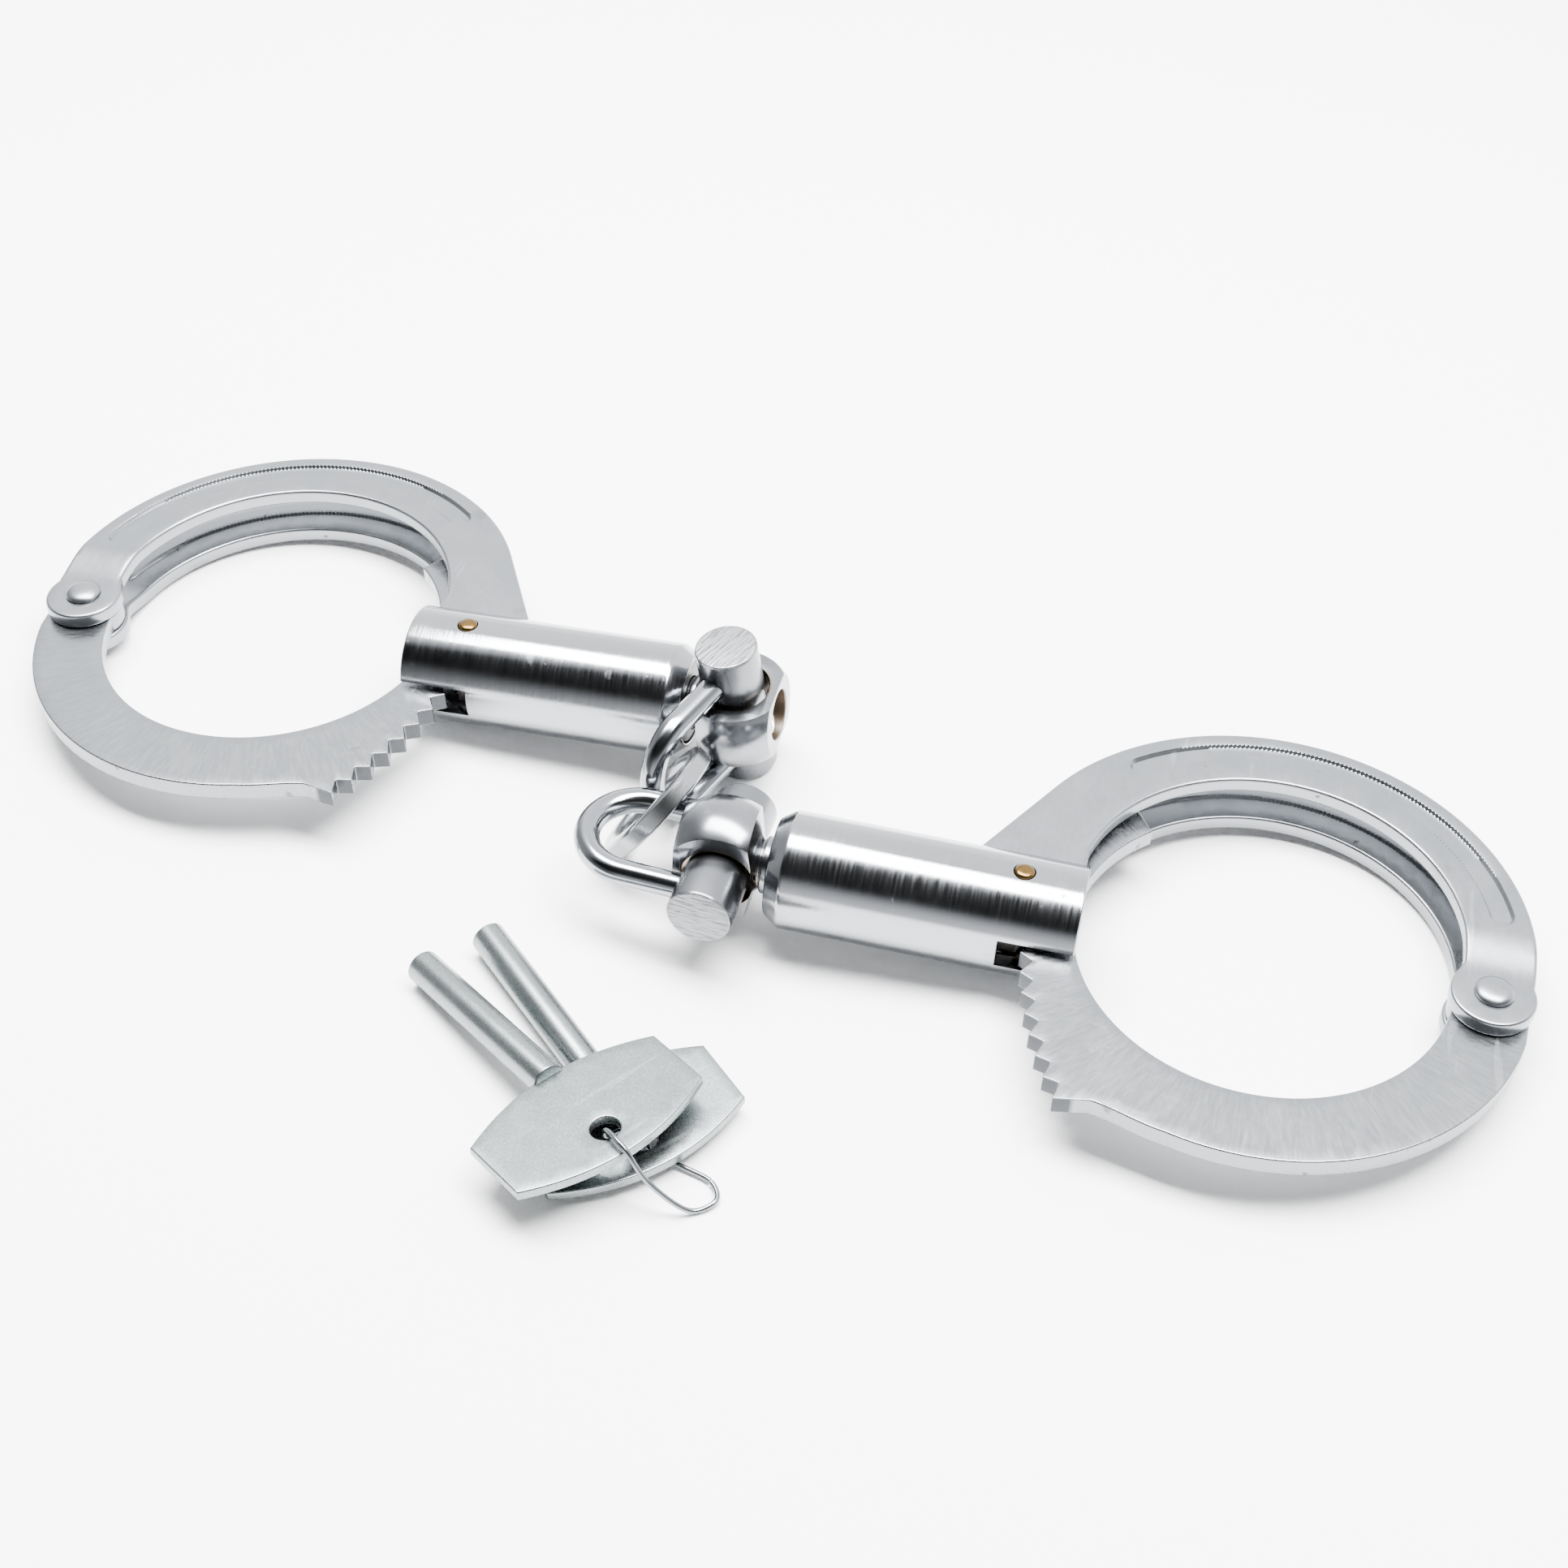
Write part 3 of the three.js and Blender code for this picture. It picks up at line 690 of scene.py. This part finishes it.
def pin_metal():
    """Plated round the side; the sawn ends keep the marks of the blade."""
    shader = Shader("sawn_pin", (0.15, 0.156, 0.166), 0.26)
    _, _, pz = shader.split()
    height = shader.math("ABSOLUTE", shader.math("SUBTRACT", pz, 0.5 * (PIN["front"] + PIN["back"]) * MM))
    half = 0.5 * (PIN["front"] - PIN["back"])
    end = shader.ranged(height, (half - 0.25) * MM, (half - 0.05) * MM)
    shader.tint(end, (0.2, 0.208, 0.218))
    saw = shader.noise(1, 3, (240, 1700, 1))
    shader.bump(shader.math("MULTIPLY", saw, end), 0.2, 1)
    kerf = shader.math("MULTIPLY", shader.ranged(saw, 0.5, 0.62), end)
    shader.tint(kerf, (0.085, 0.088, 0.092), 0.7)
    nick = shader.ranged(shader.noise(1, 2, (420, 900, 1)), 0.68, 0.71)
    shader.tint(shader.math("MULTIPLY", nick, end), (0.04, 0.038, 0.036), 0.7)
    shader.roughen(end, 0.12)
    shader.bump(shader.noise(1, 2, (1800, 1800, 90)), 0.012, 0.4)
    worn(shader, specks=0.5, mottle=0.06)
    return shader.done()


def brass_metal():
    shader = Shader("brass_dowel", (0.125, 0.074, 0.024), 0.24)
    shader.tint(shader.ranged(shader.noise(700, 3), 0.5, 0.7), (0.06, 0.031, 0.012), 0.7)
    shader.bump(shader.noise(1500, 2), 0.012, 0.5)
    _, _, pz = shader.split()
    height = shader.math("ABSOLUTE", pz)
    # painted shade: the dome's sides and edge darkened below its top
    rim = shader.ranged(height, (DOWEL["shoulder"] + 0.5) * MM, (DOWEL["shoulder"] + 0.3) * MM)
    shader.tint(rim, (0.03, 0.022, 0.014), 0.9)
    shader.roughen(shader.math("SUBTRACT", shader.noise(300, 3), 0.5), 0.2)
    return shader.done()


def zinc_metal():
    shader = Shader("zinc_key", (0.178, 0.198, 0.2), 0.3)
    spangle = shader.noise(3600, 4, rough=0.7)
    shader.roughen(shader.math("SUBTRACT", spangle, 0.5), 0.3)
    shader.bump(spangle, 0.012, 0.8)
    shader.tint(shader.ranged(shader.noise(2600, 2), 0.5, 0.68), (0.27, 0.292, 0.296), 0.6)
    shader.bump(shader.noise(300, 2), 0.015, 0.3)
    shader.tint(shader.ranged(shader.noise(160, 3), 0.42, 0.75), (0.146, 0.167, 0.171), 0.5)
    worn(shader, specks=0.35, mottle=0.06)
    return shader.done()


def wire_metal():
    shader = Shader("zinc_ring_wire", (0.17, 0.184, 0.193), 0.24)
    shader.bump(shader.noise(1800, 2), 0.008, 0.5)
    worn(shader, mottle=0.06)
    return shader.done()


def inner_metal(name, colour, roughness):
    """Oiled, unplated steel inside the lock."""
    shader = Shader(name, colour, roughness)
    shader.roughen(shader.math("SUBTRACT", shader.noise(400, 4), 0.5), 0.3)
    shader.bump(shader.noise(1700, 3), 0.01, 0.6)
    shader.tint(shader.ranged(shader.noise(500, 3), 0.55, 0.75), (0.05, 0.032, 0.02), 0.6)
    return shader.done()


def floor_paint():
    material = bpy.data.materials.new("studio_floor")
    material.use_nodes = True
    surface = material.node_tree.nodes["Principled BSDF"]
    surface.inputs["Base Color"].default_value = (0.96, 0.96, 0.96, 1)
    surface.inputs["Roughness"].default_value = 0.75
    surface.inputs["Specular IOR Level"].default_value = 0.15
    return material


METAL = {
    "barrel": barrel_metal(),
    "cheek": cheek_metal(),
    "bow": bow_metal(),
    "polished": polished_metal(),
    "swivel": swivel_metal(),
    "link": link_metal(),
    "pin": pin_metal(),
    "brass": brass_metal(),
    "zinc": zinc_metal(),
    "wire": wire_metal(),
    "inner": inner_metal("oiled_lock_steel", (0.1, 0.095, 0.09), 0.38),
    "spring": inner_metal("spring_steel_wire", (0.1, 0.1, 0.1), 0.32),
}


def add_piece(name, mesh, place, node, metal, scale=(1, 1, 1)):
    """Puts a mesh in its frame as the piece that stands for a CAD node."""
    piece = bpy.data.objects.new(name, mesh)
    bpy.context.scene.collection.objects.link(piece)
    if min(scale) < 0:
        mesh.transform(Matrix.Diagonal((*scale, 1)))
        mesh.flip_normals()
    mesh.materials.clear()
    mesh.materials.append(METAL[metal])
    mesh.shade_smooth()
    mesh.set_sharp_from_angle(angle=SHARP)
    own = mesh.attributes.new(OWN_FRAME, "FLOAT_VECTOR", "POINT")
    for vertex, value in zip(mesh.vertices, own.data):
        value.vector = vertex.co
    mesh.transform(place)
    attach(piece, BODY_OF[node])
    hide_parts(node)
    return piece


# ------------------------------------------------------------------ one cuff


def barrel_mesh(name):
    outer, bore, start = BARREL["outer"], BARREL["bore"], BARREL["start"]
    ring = [
        (bore, start),
        (outer, start),
        (outer, BARREL["shoulder"]),
        (BARREL["end_radius"], BARREL["end"]),
        (bore, BARREL["end"]),
    ]
    profile = rounded(ring, 0.4, closed=True)
    blank = turned(profile, 192, "x", turns_closed=True)
    slot = box_solid((start - 1, -outer - 1, -SLOT["half"]), (SLOT["end"], outer + 1, SLOT["half"]))
    window = box_solid((start - 1, 0.05, -WINDOW["half"]), (WINDOW["end"], outer + 1, WINDOW["half"]))
    dowel_hole = rod_solid(DOWEL["radius"] + 0.12, -outer - 1, outer + 1)
    return machined(name, blank, [slot, window, dowel_hole], 0.14)


def cheek_outline():
    inner, outer = CHEEK_INNER, CHEEK_OUTER
    left, right, bottom, top = (TONGUE[key] for key in ("left", "right", "bottom", "top"))
    points = [(left, bottom), (right, bottom), (right, top)]
    points += arc(outer["x"], outer["y"], outer["radius"], *CHEEK_ARCS["outer"])[:-1]
    points += arc(*HINGE, CHEEK_LOBE, *CHEEK_ARCS["lobe"])
    points += curved([points[-1], *CHEEK_THROAT])[:-1]
    points += arc(inner["x"], inner["y"], inner["radius"], *CHEEK_ARCS["inner"])
    return resampled(points, 0.8)


def groove_depth(flat):
    """How deep the pressed groove is at each point."""
    x, y = flat[:, 0] - GROOVE["x"], flat[:, 1] - GROOVE["y"]
    angle = np.degrees(np.arctan2(y, x)) % 360
    radius = np.hypot(x, y)
    away = np.abs(radius - GROOVE["middle"])
    for end in (GROOVE["start"], GROOVE["end"]):
        past = angle < end if end == GROOVE["start"] else angle > end
        cap = GROOVE["middle"] * np.array([math.cos(math.radians(end)), math.sin(math.radians(end))])
        away = np.where(past, np.hypot(x - cap[0], y - cap[1]), away)
    share = np.clip((GROOVE["half"] - away) / GROOVE["wall"], 0, 1)
    return GROOVE["depth"] * share * share * (3 - 2 * share)


def joggle(flat):
    """How far the cheek steps in towards the bow at the hinge."""
    drop = np.clip((CHEEK["step_top"] - flat[:, 1]) / (CHEEK["step_top"] - CHEEK["step_bottom"]), 0, 1)
    return CHEEK["step"] * drop * drop * (3 - 2 * drop) * (flat[:, 0] < STEP_SIDE)


def groove_points():
    """Points along the groove and round its two ends."""
    x, y, start, end = (GROOVE[key] for key in ("x", "y", "start", "end"))
    radii = sorted({GROOVE["middle"] + sign * offset for offset in GROOVE_ROWS for sign in (-1, 1)})
    points = [point for radius in radii for point in arc(x, y, radius, start, end, 0.75)]
    for angle, turn in ((start, -180), (end, 0)):
        cap = arc(x, y, GROOVE["middle"], angle, angle + 1)[0]
        for offset in GROOVE_ROWS[1:]:
            points += arc(*cap, offset, angle + turn + 8, angle + turn + 172, 0.5)
    return points


def step_points():
    """Points over the step beside the hinge."""
    rows = np.arange(CHEEK["step_bottom"] - 0.5, CHEEK["step_top"] + 1, 0.55)
    columns = np.arange(HINGE[0] - 7.5, HINGE[0] + 8.5, 0.6)
    return [(x, y) for y in rows for x in columns]


def cheek_mesh(name):
    extra = np.unique(np.array(groove_points() + step_points()).round(3), axis=0)

    def top(flat):
        return CHEEK["outside"] - joggle(flat) - groove_depth(flat)

    def bottom(flat):
        return CHEEK["inside"] - joggle(flat) - groove_depth(flat)

    return mesh_from(name, *cut_plate(cheek_outline(), top, bottom, CHEEK["edge"], extra=extra))


def tooth_points(count, first, grow):
    points = []
    for i in range(count):
        for radius, part in ((TEETH["tip"], 0), (TEETH["root"], 1 - TEETH["lean"])):
            angle = math.radians(first + (i + part) * TEETH["pitch"])
            reach = radius + grow
            points.append((HINGE[0] + reach * math.cos(angle), HINGE[1] + reach * math.sin(angle)))
    return points


def bow_outline():
    x, y = BOW["x"], BOW["y"]
    points = arc(x, y, BOW["outer"], *BOW_ARCS["outer"])
    points += curved([points[-1], *BOW_HEEL])
    teeth = tooth_points(TEETH["count"], TEETH["first"], 0)
    inner = arc(x, y, BOW["inner"], *BOW_ARCS["inner"])
    points += rounded([points[-1], *teeth, inner[0]], TEETH["wear"], 3)[1:-1]
    points += inner
    points += arc(*HINGE, BOW["lobe"], *BOW_ARCS["lobe"])
    return resampled(points, 0.8)


def bow_mesh(name):
    """Its edges are sharper along the teeth than along the arc."""
    outline = bow_outline()
    reach = np.hypot(outline[:, 0] - HINGE[0], outline[:, 1] - HINGE[1])
    share = np.clip((TEETH["root"] - 1 - reach) / 3, 0, 1)
    edge = BOW["tooth_edge"] + (BOW["edge"] - BOW["tooth_edge"]) * share
    return mesh_from(name, *flat_plate(outline, BOW["half"], edge, spacing=1.8))


def rivet_mesh(name):
    rim, seat, top = RIVET["head"], RIVET["seat"], RIVET["top"]
    dome = [(RIVET["shank"], 0), (RIVET["shank"], seat), (rim, seat), (rim, seat + 0.35)]
    dome += curved([(rim, seat + 0.35), (rim * 0.85, top - 0.1), (rim * 0.4, top), (0, top)], 14)
    dome = rounded(dome[:4], 0.15) + dome[4:]
    profile = [(radius, -height) for radius, height in dome[:0:-1]] + dome[1:]
    points, faces = turned(profile, 96, "z")
    return mesh_from(name, [(x + HINGE[0], y + HINGE[1], z) for x, y, z in points], faces)


def dowel_mesh(name):
    radius, shoulder, top = DOWEL["radius"], DOWEL["shoulder"], DOWEL["top"]
    profile = [(0, DOWEL["bottom"]), (radius, DOWEL["bottom"]), (radius, shoulder)]
    profile += curved([(radius, shoulder), (radius, top - 0.05), (radius * 0.6, top), (0, top)], 12)
    return mesh_from(name, *turned(profile, 64, "z"))


def bolt_blade_mesh(name):
    teeth = tooth_points(8, -4 * TEETH["pitch"], BOLT["gap"])[::-1]
    half = BOLT["half_width"]
    teeth = [point for point in teeth if abs(point[1]) < half - 0.3]
    corners = [(BOLT["blade_end"], -half), (BOLT["blade_end"], half), (teeth[0][0] + 0.4, half)]
    corners += [*teeth, (teeth[-1][0] + 0.4, -half)]
    outline = resampled(rounded(corners, 0.2, 3, closed=True), 0.6)
    return mesh_from(name, *flat_plate(outline, BOLT["half_height"], 0.15, steps=2))


def bolt_body_mesh(name):
    radius, stem = BOLT["radius"], BOLT["stem"]
    ends = [(0, BOLT["blade_end"] - 0.4), (radius, BOLT["blade_end"] - 0.4), (radius, BOLT["body_end"])]
    ends += [(stem, BOLT["body_end"]), (stem, SPRING["end"]), (0, SPRING["end"])]
    return mesh_from(name, *turned(rounded(ends, 0.25), 96))


def spring_mesh(name):
    steps = 60 * SPRING["turns"]
    path = []
    for i in range(steps + 1):
        angle = 2 * math.pi * SPRING["turns"] * i / steps
        along = SPRING["start"] + (SPRING["end"] - SPRING["start"]) * i / steps
        path.append((along, SPRING["radius"] * math.cos(angle), SPRING["radius"] * math.sin(angle)))
    return mesh_from(name, *swept(path, circle(SPRING["wire"], 16), normal=(1, 0, 0)))


def gland_mesh(name):
    bore, radius, start, end = GLAND["bore"], GLAND["radius"], GLAND["start"], GLAND["end"]
    ring = rounded([(bore, start), (radius, start), (radius, end), (bore, end)], 0.3, closed=True)
    return mesh_from(name, *turned(ring, 128, turns_closed=True))


def add_cuff(side):
    place = cuff_frame(side)
    under = (1, 1, -1)
    satin, chrome = "satin_chrome", "polished_chrome"
    pieces = (
        ("barrel_shell", barrel_mesh, "lock_barrel", satin, "barrel", None),
        ("cheek_top", cheek_mesh, "cheek_upper", satin, "cheek", None),
        ("cheek_under", cheek_mesh, "cheek_lower", satin, "cheek", under),
        ("rivet", rivet_mesh, "hinge_rivet", satin, "cheek", None),
        ("toothed_bow", bow_mesh, "bow", chrome, "bow", None),
        ("dowel_top", dowel_mesh, "dowel_upper", "brass", "brass", None),
        ("dowel_under", dowel_mesh, "dowel_lower", "brass", "brass", under),
        ("bolt_blade", bolt_blade_mesh, "lock_bolt", "inner_steel", "inner", None),
        ("bolt_body", bolt_body_mesh, "lock_bolt", "inner_steel", "inner", None),
        ("spring_coil", spring_mesh, "bolt_spring", "spring_steel", "spring", None),
        ("gland_ring", gland_mesh, "end_gland", "inner_steel", "inner", None),
    )
    for name, make, node, slot, metal, scale in pieces:
        full = f"{side}_{name}"
        piece = add_piece(full, make(full), place, f"{side}_{node}", metal, scale=scale or (1, 1, 1))
        if make is spring_mesh:
            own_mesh(piece)


# ------------------------------------------------------------------ swivel, shackle and link


def swivel_mesh(name):
    """Drawn from the middle of the eye, the barrel's axis along x and the cross bore along z."""
    outside = [(HEAD["radius"], HEAD["start"]), (HEAD["radius"], HEAD["end"])]
    outside += [(STEM["radius"], HEAD["end"]), (STEM["radius"], STEM["end"])]
    outside += [(COLLAR["radius"], STEM["end"]), (COLLAR["radius"], COLLAR["end"]), *NECK]
    low, high = math.asin(BALL_START / BALL), math.asin(BALL_FACE / BALL)
    steps = 72
    angles = [low + (high - low) * i / steps for i in range(steps + 1)]
    ball = [(BALL * math.cos(angle), BALL * math.sin(angle)) for angle in angles]
    front = rounded([ball[-1], (MOUTH, BALL_FACE), (MOUTH, 0)], 0.35)
    back = rounded([(KEYHOLE, 0), (KEYHOLE, HEAD["start"]), *outside], 0.25)
    profile = back[:-1] + ball[:-1] + front + [(KEYHOLE, 0)]
    blank = turned(profile, 192, "x", turns_closed=True)
    cuts = [rod_solid(CROSS_BORE, -TOOL_REACH, TOOL_REACH)]
    for sign in (-1, 1):
        low, high = sorted((sign * BALL_FLAT, sign * TOOL_REACH))
        cuts.append(box_solid((BALL_FLAT_START, -TOOL_REACH, low), (BALL_FACE + 1, TOOL_REACH, high)))
    return machined(name, blank, cuts, 0.3)


def pin_mesh(name):
    ends = [(0, PIN["back"]), (PIN["radius"], PIN["back"]), (PIN["radius"], PIN["front"]), (0, PIN["front"])]
    blank = turned(rounded(ends, 0.5, 6), 128, "z")
    cuts = [rod_solid(KEYHOLE, -TOOL_REACH, TOOL_REACH, "x")]
    for z in (-BAIL["half"], BAIL["half"]):
        cuts.append(rod_solid(PIN["hole"], BAIL["leg_start"] - 0.3, TOOL_REACH, "x", (0, 0, z), 64))
    return machined(name, blank, cuts, 0.12)


def bail_mesh(name):
    half, reach, start = BAIL["half"], BAIL["reach"], BAIL["leg_start"]
    bend = reach - half
    path = [(x, 0, half) for x in np.linspace(start, bend, 24, endpoint=False)]
    steps = 72
    for i in range(steps + 1):
        angle = math.pi / 2 - math.pi * i / steps
        path.append((bend + half * math.cos(angle), 0, half * math.sin(angle)))
    path += [(x, 0, -half) for x in np.linspace(bend, start, 25)[1:]]
    return mesh_from(name, *swept(path, circle(BAIL["wire"], 48)))


def link_mesh(name):
    """A forged ring, squarish in section, with its outer face ground flat."""
    section = []
    steps = 72
    for i in range(steps):
        angle = 2 * math.pi * i / steps
        c, s = math.cos(angle), math.sin(angle)
        out = LINK["half_width"] * math.copysign(abs(c) ** LINK["square"], c)
        up = LINK["half_thickness"] * math.copysign(abs(s) ** LINK["square"], s)
        section.append((LINK["radius"] + min(out, LINK["half_width"] - LINK["flat"]), up))
    return mesh_from(name, *turned(section, 160, "z", turns_closed=True))


def add_shackle(side):
    place = shackle_frame(side)
    eye = f"{side}_eye"
    add_piece(eye, swivel_mesh(eye), swivel_frame(side), f"{side}_swivel", "swivel")
    pin = f"{side}_pin"
    add_piece(pin, pin_mesh(pin), place, f"{side}_cross_pin", "pin")
    loop = f"{side}_bail_loop"
    add_piece(loop, bail_mesh(loop), place, f"{side}_bail", "polished")


# ------------------------------------------------------------------ keys


def shank_mesh(name):
    """A tube with the rings of a screw thread in its open end."""
    radius, bore, depth, length = (SHANK[key] for key in ("radius", "bore", "depth", "length"))
    thread = []
    for i in range(int((depth - 1) / THREAD["pitch"])):
        along = depth - THREAD["end"] - i * THREAD["pitch"]
        thread += [(bore, along), (bore + THREAD["depth"], along - THREAD["pitch"] / 2)]
    outside = rounded([(bore, 0), (radius, 0), (radius, length), (0, length)], 0.35, 6)
    outside = [(bore + 0.25, 0)] + [point for point in outside if point[0] > bore + 0.3 or point[1] > 1]
    profile = [(0, depth), (bore, depth), *thread, *outside]
    return mesh_from(name, *turned(profile, 96))


def plate_mesh(name):
    start, depth, ends, half = (PLATE[key] for key in ("start", "depth", "ends", "half"))
    near = start + (depth - ends) / 2
    far = near + ends
    bulge = near - start
    inner_side = [(near, half), *curved([(near, half), (start - bulge, 0), (near, -half)], 40)]
    outer_side = [(far, -half), *curved([(far, -half), (start + depth + bulge, 0), (far, half)], 40)]
    outline = resampled(inner_side + outer_side, 0.7)
    hole = np.array(arc(PLATE_HOLE["x"], 0, PLATE_HOLE["radius"], 0, 360, 0.3)[:-1])
    return mesh_from(name, *flat_plate(outline, PLATE["half_thickness"], PLATE["edge"], holes=[hole]))


def ring_mesh(name):
    """A turn and a bit of springy wire, smooth through its path points."""
    points = np.array(RING_PATH)
    count = len(points)
    steps = 420
    path = []
    for i in range(steps + 1):
        t = RING_CLOSED * count * i / steps
        k = int(t) % count
        f = t - int(t)
        a, b, c, d = (points[(k + offset) % count] for offset in (-1, 0, 1, 2))
        square = (2 * a - 5 * b + 4 * c - d) * f**2
        cube = (3 * b - a - 3 * c + d) * f**3
        path.append(0.5 * (2 * b + (c - a) * f + square + cube))
    return mesh_from(name, *swept(path, circle(RING_WIRE, 20), normal=(0, 0, 1)))


def add_keys():
    for key in ("key_a", "key_b"):
        place = key_frame(key)
        tube, handle = f"{key}_tube", f"{key}_handle"
        add_piece(tube, shank_mesh(tube), place, f"{key}_shank", "zinc")
        add_piece(handle, plate_mesh(handle), place, f"{key}_plate", "zinc")
    hole = Matrix.Translation(JOINTS["key_swing"]["pos_m"])
    add_piece("wire_ring", ring_mesh("wire_ring"), hole, "key_ring", "wire")


# ------------------------------------------------------------------ studio

FLOOR_SIZE = 30
SOFTBOX = dict(place=(0.05, 0.1, 0.75), aim=(0, 0, 0), size=(0.95, 0.32), power=60)
ROOM = dict(front_low=2.2, front_high=0.04, back_low=4.4, back_high=3.4, left=0.22)
# between which heights, depths or sides one part of the room shades into the next
ROOM_FADES = dict(front=(0.05, 0.6), back=(0.1, 0.95), middle=(-0.2, 0.2), left=(-0.75, -0.25))
ROOM_COLOUR = (0.97, 0.985, 1, 1)
# the camera's place is in millimetres from the middle of the left cuff's frame, its turns in degrees
CAMERA = dict(place=(55.64, -360.82, 322.91), lens=61.75, tilt=45.7, roll=-0.0573)


def add_floor():
    bpy.ops.mesh.primitive_plane_add(size=FLOOR_SIZE)
    floor = bpy.context.object
    floor.name = "studio_sweep"
    floor.data.materials.append(floor_paint())


def add_softbox():
    data = bpy.data.lights.new("overhead_softbox", "AREA")
    data.shape = "RECTANGLE"
    data.size, data.size_y = SOFTBOX["size"]
    data.energy = SOFTBOX["power"]
    lamp = bpy.data.objects.new("overhead_softbox", data)
    lamp.location = SOFTBOX["place"]
    aim = Vector(SOFTBOX["aim"]) - Vector(SOFTBOX["place"])
    lamp.rotation_euler = aim.to_track_quat("-Z", "Y").to_euler()
    bpy.context.scene.collection.objects.link(lamp)


def add_world():
    """A pale room behind the set; towards the camera it is dark overhead and lighter near the floor."""
    world = bpy.data.worlds.new("studio_room")
    bpy.context.scene.world = world
    world.use_nodes = True
    tree = world.node_tree
    place = tree.nodes.new("ShaderNodeTexCoord")
    parts = tree.nodes.new("ShaderNodeSeparateXYZ")
    tree.links.new(place.outputs["Generated"], parts.inputs[0])

    def ranged(value, low, high, to_low, to_high):
        node = tree.nodes.new("ShaderNodeMapRange")
        node.interpolation_type = "SMOOTHSTEP"
        for key, number in zip(("From Min", "From Max"), (low, high)):
            node.inputs[key].default_value = number
        for key, number in zip(("To Min", "To Max"), (to_low, to_high)):
            if isinstance(number, (int, float)):
                node.inputs[key].default_value = number
            else:
                tree.links.new(number, node.inputs[key])
        tree.links.new(value, node.inputs["Value"])
        return node.outputs["Result"]

    x, y, z = parts.outputs
    camera_side = ranged(z, *ROOM_FADES["front"], ROOM["front_low"], ROOM["front_high"])
    far_side = ranged(z, *ROOM_FADES["back"], ROOM["back_low"], ROOM["back_high"])
    both = ranged(y, *ROOM_FADES["middle"], camera_side, far_side)
    strength = tree.nodes.new("ShaderNodeMath")
    strength.operation = "MULTIPLY"
    tree.links.new(both, strength.inputs[0])
    tree.links.new(ranged(x, *ROOM_FADES["left"], ROOM["left"], 1.0), strength.inputs[1])
    background = tree.nodes["Background"]
    tree.links.new(strength.outputs[0], background.inputs["Strength"])
    background.inputs["Color"].default_value = ROOM_COLOUR


def add_camera():
    """Above and in front of the pair, looking down at it."""
    cuff = cuff_frame("left").translation
    data = bpy.data.cameras.new("camera")
    data.lens = CAMERA["lens"]
    data.sensor_width = 36
    data.dof.use_dof = False
    camera = bpy.data.objects.new("camera", data)
    camera.location = cuff + Vector(CAMERA["place"]) * MM
    tilt = Matrix.Rotation(math.radians(CAMERA["tilt"]), 4, "X")
    roll = Matrix.Rotation(math.radians(CAMERA["roll"]), 4, "Z")
    camera.rotation_euler = (tilt @ roll).to_euler()
    bpy.context.scene.collection.objects.link(camera)
    bpy.context.scene.camera = camera


for side in SIDES:
    add_cuff(side)
    add_shackle(side)
add_piece("link", link_mesh("link"), link_frame(), "chain_link", "link")
add_keys()
add_floor()
add_softbox()
add_world()
add_camera()
